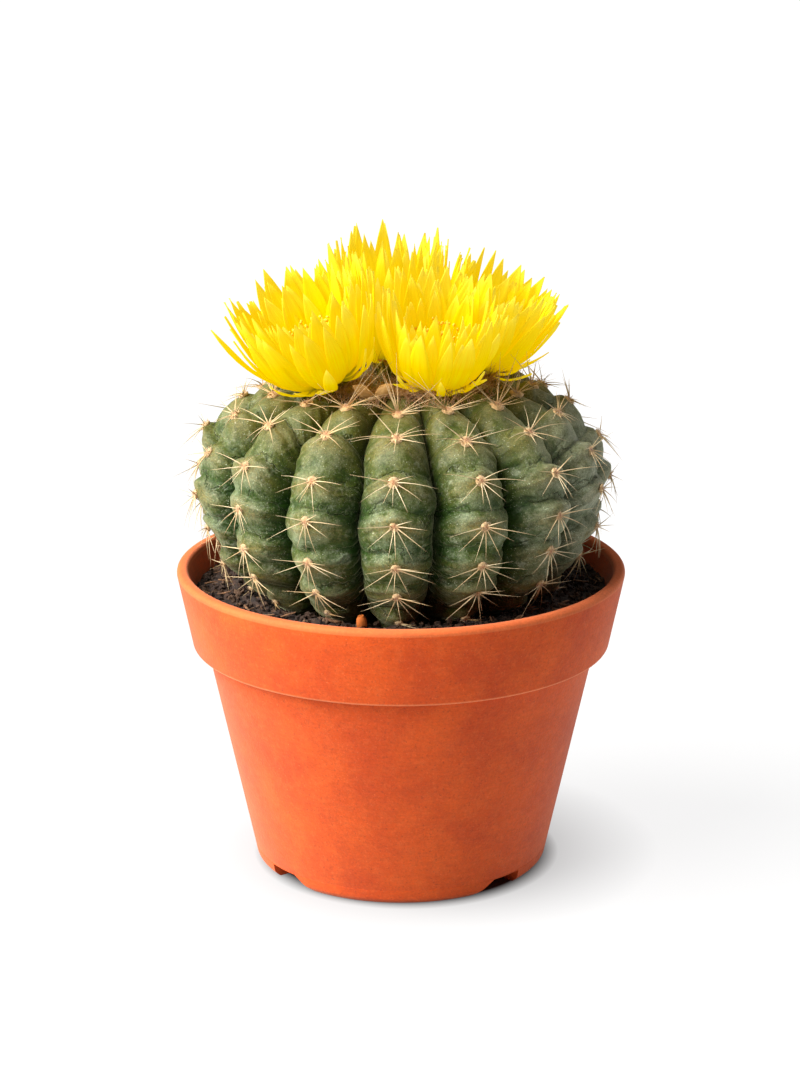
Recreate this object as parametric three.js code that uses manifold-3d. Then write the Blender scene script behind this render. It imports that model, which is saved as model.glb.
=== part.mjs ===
// A round ribbed cactus in flower, growing in a moulded plastic nursery pot.
// Units are millimetres and +Z is up. The origin is the middle of the pot's foot, on what it stands on.
import * as THREE from "three";
import { mergeVertices } from "three/addons/utils/BufferGeometryUtils.js";
import Module from "manifold-3d";

const wasm = await Module();
wasm.setup();

// Space left between pieces that would touch.
const GAP = 0.3;

// Pot: a tapered wall, a collar that steps out under the rim, and a foot ring under a raised base.
const POT_SIDES = 44;
const POT_HEIGHT = 44.4;
const RIM_RADIUS = 32.5;
const LIP_DROP = 0.7;
const LIP_ROUND = 0.6;
const WALL_AT_FOOT = 21.14;
const WALL_TAPER = 0.2157;
const WALL = 1.25;
const COLLAR_AT_ZERO = 23.475;
const COLLAR_TAPER = 0.2027;
const COLLAR_BOTTOM = 33.0;
const COLLAR_WALL = 1.7;
const LEDGE = COLLAR_BOTTOM + 1.2;
const FOOT_RADIUS = 20.4;
const FOOT_RING = 1.6;
const FOOT_ROUND = 0.8;
const BASE_UNDER = 2;
const BASE_TOP = 3.1;

// Drain notches through the foot ring, in mirrored pairs, and drain holes through the base.
const NOTCH_CENTRES = [-52, 45, 128, 225];
const NOTCH_WIDTH = 5.1;
const NOTCH_HEIGHT = 2.15;
const NOTCH_SLOPE = 3;
const NOTCH_REACH = 8;
const DRAIN_RADIUS = 2.2;
const DRAIN_AT = 13.5;
const DRAIN_SIDES = 12;

// Soil: it fills the pot to below the rim and heaps up a little against the stem.
const SOIL_SIDES = 40;
const SOIL_AT_WALL = 40.6;
const SOIL_AT_STEM = 42.1;
const SOIL_LUMP = 0.45;
const POCKET_SIDE = 1.5;
const POCKET_LEVELS = [39.6, 37];

// Stem: a flattened globe. Its crest line is given by an elevation angle about the widest level.
const RIBS = 15;
const FIRST_RIB = -1.5;
const STEM_RADIUS = 29.2;
const STEM_LEVEL = 58.35;
const STEM_UP = 15.4;
const STEM_DOWN = 23.45;
const STEM_FULLNESS = 0.93;
const CROWN_DIP = 3.6;
const CROWN_DIP_WIDTH = 11;
const CROWN_RING = 79;
const UNDERSIDE_RINGS = [-55, -66, -78];
const NECK_ANGLE = -84;
const TAPROOT_RADIUS = 2.6;
const TAPROOT_END = 1.4;
const TAPROOT_TIP = 24.5;

// Ribs: how deep the furrows are, how fully round the ribs stand between them, how the rows slope into them,
// and where the ribs fade out.
const FURROW_SHARE = 0.185;
const RIB_ROUND = 0.85;
const ROW_SLOPE = 5;
const ROW_STAGGER = 1.6;
const RIBS_START = [-72, -46];
const RIBS_END = [76, 88];

// Areoles: felt cushions on the crests, at these elevation angles. Each has a crease above and a bulge below.
const AREOLE_ANGLES = [68, 54, 38, 18, -2, -15, -28, -41];
const LAST_ROW_HEIGHT = 12;
const FELT = 0.45;
const BULGE = 0.4;
const BULGE_AT = 0.42;
const CREASE = 0.75;
const CREASE_AT = 0.2;

// Spines: they fan out from each areole at these angles from straight down, three to an areole.
const SPINE_LENGTH = 5.3;
const SPINE_RADIUS = 0.26;
const SPINE_LIFT = 17;
const SPINE_START = 0.1;
const SPINE_DEPTH = 0.6;
const SPINE_SWAY = 24;
const SPINE_VARIES = 0.3;
const CROWN_FAN = [-105, 180, 105];
const SIDE_FAN = [-78, 4, 82];
const CROWN_FAN_ROWS = 3;
const SPINE_SEED = 7;

// Flowers: each one stands on a short green tube near the crown and leans its own way.
const TUBE_RADIUS = 2.4;
const TUBE_LENGTH = 1.5;
const TUBE_SINK = 2.2;
const TUBE_SIDES = 12;
const BLOOMS = [
  { name: "bloom_left", at: [-9.6, -5.8], lean: [-0.33, -0.25], radius: 9.6, height: 15.4, turn: 0 },
  { name: "bloom_front", at: [4.6, -5.2], lean: [0.06, -0.34], radius: 8.3, height: 14.6, turn: 11 },
  { name: "bloom_right", at: [9.6, 4.2], lean: [0.42, -0.14], radius: 7.9, height: 14.8, turn: 4 },
  { name: "bloom_back", at: [-1.6, 7.2], lean: [0.02, -0.04], radius: 8.1, height: 18.7, turn: 17 },
];
const BLOOM_SEED = 31;
// The solid heart of a flower, as (radius, height) points: it stands for the stamens and joins the petals.
const HEART = [[2.4, GAP], [4.4, 1.5], [4.3, 3.2], [2.4, 5.4], [0, 6.2]];
const HEART_SIDES = 10;

// Petals, in layers from the outside in. A line is the way a petal takes, in shares of the flower's
// radius and height, and turn sets the layers off from each other.
const PETAL_LAYERS = [
  { count: 9, steps: 3, width: 5.2, turn: 0, line: [[0.25, 0.06], [0.82, 0.09], [1.06, 0.45], [1.04, 1]] },
  { count: 8, steps: 2, width: 4.6, turn: 20, line: [[0.2, 0.1], [0.62, 0.12], [0.84, 0.5], [0.76, 1.05]] },
  { count: 6, steps: 2, width: 3.8, turn: 7, line: [[0.14, 0.14], [0.4, 0.2], [0.5, 0.55], [0.46, 0.95]] },
];
const PETAL_THICK = 0.66;
const PETAL_FOOT = 0.5;
const PETAL_SWELL = 1.6;
const PETAL_TAPER = 1.35;
const PETAL_SHORTEST = 0.94;
const PETAL_SWAY = 0.3;
// Petals start to bend away this far short of the plane that parts two flowers.
const BEND_START = 3;
const BLOOM_MIDDLE = 8;

// Woolly buds on the crown, as (radius, height) points, the places where they stand and the ways they lean.
const BUD = [[0, 0], [0.5, 0.25], [0.9, 1], [0.85, 2.1], [0, 3]];
const BUD_SIDES = 8;
const BUD_SEAT = 0.7;
const BUDS = [
  { name: "bud_left", at: [-4.2, -13], lean: [-1.6, -0.3] },
  { name: "bud_right", at: [-3.4, -13], lean: [1.35, -0.3] },
];

const radians = THREE.MathUtils.degToRad;
const smooth = THREE.MathUtils.smoothstep;
const UP = new THREE.Vector3(0, 0, 1);

// A repeatable stream of numbers from 0 to 1.
function randomStream(seed) {
  let state = seed;
  return () => {
    state = (state * 1664525 + 1013904223) % 4294967296;
    return state / 4294967296;
  };
}

// Turns a closed three.js geometry into a solid that can be joined and cut.
function solidOf(geometry) {
  const bare = geometry.clone();
  for (const name of Object.keys(bare.attributes)) {
    if (name !== "position") bare.deleteAttribute(name);
  }
  const merged = mergeVertices(bare, 1e-4);
  return new wasm.Manifold(
    new wasm.Mesh({
      numProp: 3,
      vertProperties: new Float32Array(merged.attributes.position.array),
      triVerts: new Uint32Array(merged.index.array),
    }),
  );
}

function geometryOf(solid) {
  const mesh = solid.getMesh();
  return new THREE.BufferGeometry()
    .setAttribute("position", new THREE.BufferAttribute(mesh.vertProperties, 3))
    .setIndex(new THREE.BufferAttribute(mesh.triVerts, 1));
}

// A solid of revolution about +Z from (radius, height) points that run upwards on the outside.
function turned(points, sides) {
  const profile = points.map(([r, z]) => new THREE.Vector2(r, z));
  return new THREE.LatheGeometry(profile, sides).rotateX(Math.PI / 2);
}

function material(color, roughness) {
  return new THREE.MeshStandardMaterial({ color, roughness, metalness: 0 });
}

function namedMesh(name, geometry, look) {
  const mesh = new THREE.Mesh(geometry, look);
  mesh.name = name;
  return mesh;
}

// The pot's wall and collar, outside and inside, by height.
const wallRadius = (z) => WALL_AT_FOOT + WALL_TAPER * z;
const collarRadius = (z) => COLLAR_AT_ZERO + COLLAR_TAPER * z;
const wallInside = (z) => wallRadius(z) - WALL;
const collarInside = (z) => collarRadius(z) - COLLAR_WALL;

function potGeometry() {
  const lip = POT_HEIGHT - LIP_DROP;
  const ring = FOOT_RADIUS - FOOT_RING;
  const profile = [
    [0, BASE_UNDER],
    [ring, BASE_UNDER],
    [ring, 0],
    [FOOT_RADIUS, 0],
    [wallRadius(FOOT_ROUND), FOOT_ROUND],
    [wallRadius(COLLAR_BOTTOM), COLLAR_BOTTOM],
    [collarRadius(COLLAR_BOTTOM), COLLAR_BOTTOM],
    [collarRadius(lip - LIP_ROUND), lip - LIP_ROUND],
    [RIM_RADIUS, lip],
    [RIM_RADIUS - LIP_ROUND, POT_HEIGHT],
    [collarInside(POT_HEIGHT), POT_HEIGHT],
    [collarInside(LEDGE), LEDGE],
    [wallInside(LEDGE), LEDGE],
    [wallInside(BASE_TOP), BASE_TOP],
    [0, BASE_TOP],
  ];
  const notches = NOTCH_CENTRES.map((centre, i) => notchSolid(centre, i % 2 === 1));
  const drains = NOTCH_CENTRES.map((centre) => drainSolid(DRAIN_AT, centre));
  const cuts = wasm.Manifold.union([...notches, ...drains, drainSolid(0, 0)]);
  return geometryOf(solidOf(turned(profile, POT_SIDES)).subtract(cuts));
}

// One notch: upright on one side and sloping on the other, cut outwards through the ring.
function notchSolid(centre, mirrored) {
  const half = NOTCH_WIDTH / 2;
  const below = 1;
  const shape = new THREE.Shape();
  shape.moveTo(-half, -below);
  shape.lineTo(half + NOTCH_SLOPE * (1 + below / NOTCH_HEIGHT), -below);
  shape.lineTo(half, NOTCH_HEIGHT);
  shape.lineTo(-half, NOTCH_HEIGHT);
  const bar = new THREE.ExtrudeGeometry(shape, { depth: NOTCH_REACH, bevelEnabled: false });
  bar.rotateX(Math.PI / 2);
  bar.translate(0, NOTCH_REACH / 2 - FOOT_RADIUS, 0);
  const solid = mirrored ? solidOf(bar).mirror([1, 0, 0]) : solidOf(bar);
  return solid.rotate([0, 0, centre]);
}

function drainSolid(distance, angle) {
  const through = 3 * (BASE_TOP - BASE_UNDER);
  const drain = new THREE.CylinderGeometry(DRAIN_RADIUS, DRAIN_RADIUS, through, DRAIN_SIDES);
  drain.rotateX(Math.PI / 2).translate(distance, 0, (BASE_TOP + BASE_UNDER) / 2);
  return solidOf(drain.rotateZ(radians(angle)));
}

// The stem's crest line: radius and height at an elevation angle in degrees.
function crest(angle) {
  const a = radians(angle);
  const radius = STEM_RADIUS * Math.pow(Math.max(0, Math.cos(a)), STEM_FULLNESS);
  const rise = (a > 0 ? STEM_UP : STEM_DOWN) * Math.sin(a);
  const dip = a > 0 ? CROWN_DIP * Math.exp(-Math.pow(radius / CROWN_DIP_WIDTH, 2)) : 0;
  return { radius, z: STEM_LEVEL + rise - dip };
}

// Outward direction of the crest line at that angle, as (radial, up).
function crestNormal(angle) {
  const upper = Math.min(89.9, angle + 0.5);
  const a = crest(upper);
  const b = crest(upper - 1);
  const dr = a.radius - b.radius;
  const dz = a.z - b.z;
  const length = Math.hypot(dr, dz);
  return { r: dz / length, z: -dr / length };
}

// Radius of the crest line at a height on the stem's underside.
function undersideRadius(z) {
  let angle = -1;
  while (angle > -89 && crest(angle).z > z) angle -= 0.25;
  return crest(angle).radius;
}

// Height of the crest line on the stem's crown, at a distance from the axis.
function crownHeight(radius) {
  let angle = 89;
  while (angle > 1 && crest(angle).radius < radius) angle -= 0.25;
  return crest(angle).z;
}

const ribShare = (angle) => smooth(angle, ...RIBS_START) * (1 - smooth(angle, ...RIBS_END));
const stagger = (rib) => ROW_STAGGER * Math.sin(2.4 * rib + 0.6);
const ribAngle = (rib) => radians(FIRST_RIB + (360 / RIBS) * rib - 90);

// A point on the stem: across runs from -1 to 1 over a rib, and relief is the height of the bulge there.
function stemPoint(angle, rib, across, relief) {
  const share = ribShare(angle);
  const off = Math.abs(across);
  const shifted = angle + share * (stagger(rib) * (1 - off) - ROW_SLOPE * off);
  const line = crest(shifted);
  const out = crestNormal(shifted);
  const over = (off * Math.PI) / 2;
  const furrow = FURROW_SHARE * line.radius * (1 - Math.cos(over));
  const bulge = (relief * (1 - 0.5 * off) * line.radius) / STEM_RADIUS;
  const lift = share * (bulge - furrow);
  const radius = Math.max(0, line.radius + lift * out.r);
  const spread = off + share * RIB_ROUND * (Math.sin(over) - off);
  const theta = ribAngle(rib) + (Math.sign(across) * spread * Math.PI) / RIBS;
  return new THREE.Vector3(radius * Math.cos(theta), radius * Math.sin(theta), line.z + lift * out.z);
}

// Rows of the stem from the crown down: for each areole a crease, the felt and the bulge below it.
function stemRows() {
  const rows = [{ angle: 90, relief: 0 }, { angle: CROWN_RING, relief: 0 }];
  AREOLE_ANGLES.forEach((angle, i) => {
    const above = (AREOLE_ANGLES[i - 1] ?? CROWN_RING) - angle;
    const below = angle - (AREOLE_ANGLES[i + 1] ?? angle - LAST_ROW_HEIGHT);
    rows.push({ angle: angle + CREASE_AT * above, relief: -CREASE });
    rows.push({ angle, relief: BULGE, felt: true });
    rows.push({ angle: angle - BULGE_AT * below, relief: BULGE });
  });
  for (const angle of UNDERSIDE_RINGS) rows.push({ angle, relief: 0 });
  return rows;
}

// Columns of the stem, four to a rib: on its crest, on its two shoulders and in the furrow.
const COLUMN_STEPS = [0, 0.5, 1, -0.5];

// The stem is turned as a plain body first, and each of its points is then moved to its place on the ribs.
function stemGeometry() {
  const rows = stemRows();
  const root = [
    [TAPROOT_RADIUS, crest(NECK_ANGLE).z],
    [TAPROOT_END, TAPROOT_TIP + TAPROOT_END],
    [0, TAPROOT_TIP],
  ];
  const profile = [...rows.map(() => [1, 0]), ...root].reverse();
  const columns = RIBS * COLUMN_STEPS.length;
  const body = turned(profile, columns);
  const place = body.attributes.position;
  for (let i = 0; i < place.count; i++) {
    const column = Math.floor(i / profile.length) % columns;
    const level = profile.length - 1 - (i % profile.length);
    const across = COLUMN_STEPS[column % COLUMN_STEPS.length];
    const rib = (Math.floor(column / COLUMN_STEPS.length) + (across < 0 ? 1 : 0)) % RIBS;
    const row = rows[level];
    if (row) {
      const felt = row.felt && across === 0 ? FELT : 0;
      place.setXYZ(i, ...stemPoint(row.angle, rib, across, row.relief + felt));
    } else {
      const [r, z] = root[level - rows.length];
      const theta = ribAngle(rib) + (across * Math.PI) / RIBS;
      place.setXYZ(i, r * Math.cos(theta), r * Math.sin(theta), z);
    }
  }
  return body;
}

// Where a flower stands: its foot on the crown, the way it leans, and the top of its tube.
function bloomPlace({ at, lean }) {
  const axis = new THREE.Vector3(...lean, 1).normalize();
  const foot = new THREE.Vector3(...at, crownHeight(Math.hypot(...at)));
  const turn = new THREE.Quaternion().setFromUnitVectors(UP, axis);
  const top = foot.clone().addScaledVector(axis, TUBE_LENGTH);
  const middle = top.clone().addScaledVector(axis, BLOOM_MIDDLE);
  return { foot, axis, turn, top, middle };
}

function tubeSolid(bloom) {
  const { foot, turn } = bloomPlace(bloom);
  const profile = [
    [0, -TUBE_SINK],
    [0.8 * TUBE_RADIUS, -TUBE_SINK],
    [TUBE_RADIUS, TUBE_LENGTH],
    [0, TUBE_LENGTH],
  ];
  return solidOf(turned(profile, TUBE_SIDES).applyQuaternion(turn).translate(...foot));
}

// One spine, from inside its areole, leaning out from the surface by the lift angle.
function spineSolid(root, normal, down, fan, length) {
  const side = new THREE.Vector3().crossVectors(normal, down);
  const along = down.clone().multiplyScalar(Math.cos(fan)).addScaledVector(side, Math.sin(fan));
  const lift = radians(SPINE_LIFT);
  const way = along.multiplyScalar(Math.cos(lift)).addScaledVector(normal, Math.sin(lift)).normalize();
  const needle = new THREE.ConeGeometry(SPINE_RADIUS, length, 3, 1);
  needle.applyQuaternion(new THREE.Quaternion().setFromUnitVectors(new THREE.Vector3(0, 1, 0), way));
  const middle = root.clone().addScaledVector(way, length / 2 + SPINE_START);
  return solidOf(needle.translate(...middle));
}

// Every spine that stays clear of the flowers, the buds, the soil and the pot.
function spineSolids(neighbours) {
  const random = randomStream(SPINE_SEED);
  const spines = [];
  for (let rib = 0; rib < RIBS; rib++) {
    AREOLE_ANGLES.forEach((angle, row) => {
      const root = stemPoint(angle, rib, 0, BULGE + FELT - SPINE_DEPTH);
      const out = crestNormal(angle);
      const theta = ribAngle(rib);
      const normal = new THREE.Vector3(out.r * Math.cos(theta), out.r * Math.sin(theta), out.z);
      const down = new THREE.Vector3(out.z * Math.cos(theta), out.z * Math.sin(theta), -out.r);
      for (const fan of row < CROWN_FAN_ROWS ? CROWN_FAN : SIDE_FAN) {
        const turn = radians(fan + SPINE_SWAY * (random() - 0.5));
        const length = SPINE_LENGTH * (1 + SPINE_VARIES * (random() - 0.5));
        const spine = spineSolid(root, normal, down, turn, length);
        if (neighbours.every((other) => other.minGap(spine, GAP) >= GAP)) spines.push(spine);
      }
    });
  }
  return spines;
}

// A petal: a thin pointed blade, made of a four-sided cone that is laid along the petal's line.
function petalSolid(layer, azimuth, bloom, planes, reach) {
  const curve = new THREE.CubicBezierCurve3(
    ...layer.line.map(([r, z]) => new THREE.Vector3(r * bloom.radius, 0, z * bloom.height)),
  );
  const blade = new THREE.ConeGeometry(1, 1, 4, layer.steps);
  const place = blade.attributes.position;
  const spin = new THREE.Quaternion().setFromAxisAngle(UP, azimuth);
  const side = new THREE.Vector3(0, 1, 0).applyQuaternion(spin);
  const stations = new Map();
  for (let i = 0; i < place.count; i++) {
    const t = Math.round((place.getY(i) + 0.5) * layer.steps) / layer.steps;
    const across = t < 1 ? place.getX(i) / (1 - t) : 0;
    const through = t < 1 ? place.getZ(i) / (1 - t) : 0;
    const centre = curve.getPoint(t * reach).applyQuaternion(spin);
    const tangent = curve.getTangent(t * reach).applyQuaternion(spin);
    const face = new THREE.Vector3().crossVectors(side, tangent).normalize();
    const half = 0.5 * layer.width * (PETAL_FOOT + PETAL_SWELL * t - PETAL_TAPER * t * t);
    centre.addScaledVector(side, across * half).addScaledVector(face, 0.5 * PETAL_THICK * through);
    place.setXYZ(i, ...centre);
    stations.set(t, [...(stations.get(t) ?? []), i]);
  }
  for (const members of stations.values()) bendClear(place, members, planes);
  return solidOf(blade);
}

// Moves one section of a petal back from the planes that part its flower from the flowers beside it.
function bendClear(place, members, planes) {
  for (const plane of planes) {
    const past = Math.max(
      ...members.map((i) => plane.distanceToPoint(new THREE.Vector3().fromBufferAttribute(place, i))),
    );
    if (past <= -BEND_START) continue;
    const room = BEND_START - GAP;
    const wanted = -BEND_START + room * (1 - Math.exp((-BEND_START - past) / room));
    const back = plane.normal.clone().multiplyScalar(wanted - past);
    for (const i of members) {
      place.setXYZ(i, place.getX(i) + back.x, place.getY(i) + back.y, place.getZ(i) + back.z);
    }
  }
}

// The planes halfway between a flower and each of the others, in the flower's own frame.
function partingPlanes(bloom) {
  const here = bloomPlace(bloom);
  const home = here.turn.clone().invert();
  return BLOOMS.filter((other) => other !== bloom).map((other) => {
    const away = bloomPlace(other).middle.sub(here.middle);
    const halfway = here.middle.clone().addScaledVector(away, 0.5).sub(here.top);
    const normal = away.normalize().applyQuaternion(home);
    return new THREE.Plane().setFromNormalAndCoplanarPoint(normal, halfway.applyQuaternion(home));
  });
}

function bloomGeometry(bloom, index) {
  const planes = partingPlanes(bloom);
  const random = randomStream(BLOOM_SEED + index);
  const pieces = [solidOf(turned([[0, GAP], ...HEART], HEART_SIDES))];
  for (const layer of PETAL_LAYERS) {
    for (let i = 0; i < layer.count; i++) {
      const step = i + PETAL_SWAY * (random() - 0.5);
      const azimuth = radians((360 / layer.count) * step + layer.turn + bloom.turn);
      const reach = THREE.MathUtils.lerp(PETAL_SHORTEST, 1, random());
      pieces.push(petalSolid(layer, azimuth, bloom, planes, reach));
    }
  }
  return geometryOf(wasm.Manifold.union(pieces));
}

function bloomMesh(bloom, index) {
  const place = bloomPlace(bloom);
  const mesh = namedMesh(bloom.name, bloomGeometry(bloom, index), material(0xf7d808, 0.6));
  mesh.position.copy(place.top);
  mesh.quaternion.copy(place.turn);
  return mesh;
}

// The soil's top: lower at the pot's wall, higher at the stem, and lumpy in between.
function soilHeight(radius, theta, share) {
  const lump = Math.sin(5 * theta + 0.9 * radius) * Math.cos(3 * theta - 1.3 * radius);
  return THREE.MathUtils.lerp(SOIL_AT_WALL, SOIL_AT_STEM, share) + SOIL_LUMP * lump * (1 - share);
}

function soilGeometry() {
  const inner = undersideRadius(SOIL_AT_STEM) + POCKET_SIDE;
  const outer = collarInside(SOIL_AT_WALL) - GAP;
  const shares = [0, 1 / 3, 2 / 3];
  const below = [
    [0, BASE_TOP],
    [wallInside(BASE_TOP) - GAP, BASE_TOP],
    [wallInside(LEDGE) - GAP, LEDGE],
    [wallInside(LEDGE) - GAP, LEDGE + GAP],
    [collarInside(LEDGE) - GAP, LEDGE + GAP],
  ];
  const surface = shares.map((share) => [THREE.MathUtils.lerp(outer, inner, share), SOIL_AT_WALL]);
  const pocket = [
    [inner, SOIL_AT_STEM],
    ...POCKET_LEVELS.map((z) => [undersideRadius(z) + POCKET_SIDE, z]),
    [TAPROOT_RADIUS + POCKET_SIDE, crest(NECK_ANGLE).z - POCKET_SIDE],
    [TAPROOT_END + POCKET_SIDE, TAPROOT_TIP],
    [0, TAPROOT_TIP - GAP],
  ];
  const profile = [...below, ...surface, ...pocket];
  const soil = turned(profile, SOIL_SIDES);
  const place = soil.attributes.position;
  for (let i = 0; i < place.count; i++) {
    const share = shares[(i % profile.length) - below.length];
    if (share === undefined) continue;
    const theta = Math.atan2(place.getY(i), place.getX(i));
    const radius = Math.hypot(place.getX(i), place.getY(i));
    place.setZ(i, soilHeight(radius, theta, share));
  }
  return soil;
}

function budMesh({ name, at, lean }) {
  const mesh = namedMesh(name, turned(BUD, BUD_SIDES), material(0xb58c55, 0.9));
  mesh.position.set(...at, crownHeight(Math.hypot(...at)) + BUD_SEAT);
  mesh.quaternion.setFromUnitVectors(UP, new THREE.Vector3(...lean, 1).normalize());
  return mesh;
}

const pot = namedMesh("pot", potGeometry(), material(0xd9612c, 0.55));
const soil = namedMesh("soil", soilGeometry(), material(0x2b211c, 0.95));
const blooms = BLOOMS.map(bloomMesh);
const buds = BUDS.map(budMesh);

function solidInPlace(mesh) {
  mesh.updateMatrixWorld(true);
  return solidOf(mesh.geometry.clone().applyMatrix4(mesh.matrixWorld));
}
const neighbours = [pot, soil, ...blooms, ...buds].map(solidInPlace);
const grown = [solidOf(stemGeometry()), ...BLOOMS.map(tubeSolid), ...spineSolids(neighbours)];
const stem = namedMesh("stem", geometryOf(wasm.Manifold.union(grown)), material(0x4f7a45, 0.7));

const plant = new THREE.Group();
plant.add(pot, soil, stem, ...blooms, ...buds);

export default plant;
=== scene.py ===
# A round ribbed cactus in flower, in a moulded plastic nursery pot.
# Lengths are metres and +Z is up. The origin is the middle of the pot's foot.
import math
import random
from contextlib import contextmanager
from itertools import islice

import bpy
import numpy as np
from mathutils import Matrix, Quaternion, Vector, noise
from mathutils.bvhtree import BVHTree


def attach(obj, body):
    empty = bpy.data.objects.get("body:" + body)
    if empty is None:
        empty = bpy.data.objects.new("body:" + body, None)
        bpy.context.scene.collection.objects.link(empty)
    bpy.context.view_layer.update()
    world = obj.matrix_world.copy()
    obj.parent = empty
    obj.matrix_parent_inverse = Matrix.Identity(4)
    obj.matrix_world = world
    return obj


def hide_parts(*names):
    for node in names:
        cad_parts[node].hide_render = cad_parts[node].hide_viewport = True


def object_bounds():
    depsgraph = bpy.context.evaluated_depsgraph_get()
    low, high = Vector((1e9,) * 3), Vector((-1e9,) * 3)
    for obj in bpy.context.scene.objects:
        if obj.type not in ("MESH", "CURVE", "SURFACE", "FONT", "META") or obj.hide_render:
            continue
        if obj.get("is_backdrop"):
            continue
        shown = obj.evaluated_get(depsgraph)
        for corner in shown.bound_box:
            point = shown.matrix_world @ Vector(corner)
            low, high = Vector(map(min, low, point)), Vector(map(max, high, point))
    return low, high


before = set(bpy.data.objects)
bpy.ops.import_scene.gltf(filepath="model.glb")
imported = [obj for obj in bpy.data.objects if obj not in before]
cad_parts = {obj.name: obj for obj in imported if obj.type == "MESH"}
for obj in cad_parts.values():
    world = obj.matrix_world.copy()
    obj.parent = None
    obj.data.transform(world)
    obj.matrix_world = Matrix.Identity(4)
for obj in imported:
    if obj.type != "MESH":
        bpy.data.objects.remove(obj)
model_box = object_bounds()
bpy.ops.object.select_all(action="DESELECT")

UP = Vector((0, 0, 1))
FULL_TURN = 2 * math.pi
GOLDEN_ANGLE = 2.39996

# Pot: wall, collar, lip and foot, as on the solid.
POT_SIDES = 176
POT_HEIGHT = 0.0444
RIM_RADIUS = 0.0325
WALL_AT_FOOT = 0.02114
WALL_TAPER = 0.2157
WALL = 0.00125
COLLAR_AT_ZERO = 0.023475
COLLAR_TAPER = 0.2027
COLLAR_BOTTOM = 0.033
COLLAR_WALL = 0.0017
LEDGE = 0.0342
FOOT_RADIUS = 0.0204
FOOT_RING = 0.0016
FOOT_ROUND = 0.0008
BASE_UNDER = 0.002
BASE_TOP = 0.0031
SEAM_LEVEL = 0.0023
SEAM_STEP = 0.00002
NOTCH_CENTRES = (-52, 45, 128, 225)
NOTCH_WIDTH = 0.0051
NOTCH_HEIGHT = 0.00215
NOTCH_SLOPE = 0.003
NOTCH_REACH = 0.008
DRAIN_SIDES = 40
DRAIN_RADIUS = 0.0022
DRAIN_AT = 0.0135

# Soil.
SOIL_SIDES = 240
SOIL_AT_WALL = 0.0406
SOIL_AT_STEM = 0.0421
SOIL_LUMP = 0.00045
SOIL_ROUGH = 0.00055
SOIL_ROUGH_SCALE = 700
SOIL_RINGS = 16
POCKET_SIDE = 0.0015
POCKET_LEVELS = (0.0396, 0.037)
GAP = 0.0003

# Stem: a flattened globe with ribs, as on the solid.
RIBS = 15
FIRST_RIB = -1.5
STEM_RADIUS = 0.0292
STEM_LEVEL = 0.05835
STEM_UP = 0.0154
STEM_DOWN = 0.02345
STEM_FULLNESS = 0.93
CROWN_DIP = 0.0036
CROWN_DIP_WIDTH = 0.011
FURROW_SHARE = 0.185
RIB_ROUND = 0.85
ROW_SLOPE = 5
ROW_STAGGER = 1.6
RIBS_START = (-72, -46)
RIBS_END = (76, 88)
AREOLE_ANGLES = (68, 54, 38, 18, -2, -15, -28, -41)
TAPROOT_RADIUS = 0.0026
TAPROOT_END = 0.0014
TAPROOT_TIP = 0.0245
NECK_ANGLE = -84

# Flowers: where each stands, how it leans and how big it is.
TUBE_RADIUS = 0.0024
TUBE_LENGTH = 0.0015
TUBE_SINK = 0.0022
BLOOMS = (
    {"name": "bloom_left", "at": (-0.0096, -0.0058), "lean": (-0.33, -0.25), "radius": 0.0096,
     "height": 0.0154, "turn": 0},
    {"name": "bloom_front", "at": (0.0046, -0.0052), "lean": (0.06, -0.34), "radius": 0.0083,
     "height": 0.0146, "turn": 11},
    {"name": "bloom_right", "at": (0.0096, 0.0042), "lean": (0.42, -0.14), "radius": 0.0079,
     "height": 0.0148, "turn": 4},
    {"name": "bloom_back", "at": (-0.0016, 0.0072), "lean": (0.02, -0.04), "radius": 0.0081,
     "height": 0.0187, "turn": 17},
)
BUDS = (
    {"name": "bud_left", "at": (-0.0040, -0.0130), "lean": (-1.6, -0.3)},
    {"name": "bud_right", "at": (-0.0036, -0.0130), "lean": (1.35, -0.3)},
)

# Camera: where it stands and how long its lens is. The picture's middle is one pixel off the lens's.
CAMERA_DISTANCE = 0.4
CAMERA_TILT = 16.23
CAMERA_AIM = 0.04698
FRAME_HEIGHT = 1091
LENS_IN_PIXELS = 2769.6
PIXELS_OFF_MIDDLE = -1
SENSOR = 36


def smoothstep(value, low, high):
    share = np.clip((value - low) / (high - low), 0, 1)
    return share * share * (3 - 2 * share)


def eased(value, points):
    """Runs smoothly through (place, level) points."""
    total = np.full_like(value, points[0][1], dtype=float)
    for (a, low), (b, high) in zip(points, points[1:]):
        total += (high - low) * smoothstep(value, a, b)
    return total


def ahead(azimuth):
    return Vector((math.cos(azimuth), math.sin(azimuth), 0))


# Making and joining pieces.

JOIN_BATCH = 150


def only(piece):
    """Selects one piece alone and makes it active."""
    bpy.ops.object.select_all(action="DESELECT")
    piece.select_set(True)
    bpy.context.view_layer.objects.active = piece


def named(name):
    """Names the piece that was just made."""
    piece = bpy.context.active_object
    piece.name = name
    piece.data.name = name
    return piece


@contextmanager
def editing():
    """Edit mode on the active piece, with all of it selected."""
    bpy.ops.object.mode_set(mode="EDIT")
    bpy.ops.mesh.select_all(action="SELECT")
    yield
    bpy.ops.object.mode_set(mode="OBJECT")


def apply_modifier(piece, kind, **settings):
    only(piece)
    modifier = piece.modifiers.new(kind.lower(), kind)
    for key, value in settings.items():
        setattr(modifier, key, value)
    bpy.ops.object.modifier_apply(modifier=modifier.name)


def points_of(piece):
    places = np.empty(len(piece.data.vertices) * 3)
    piece.data.vertices.foreach_get("co", places)
    return places.reshape(-1, 3)


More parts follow.
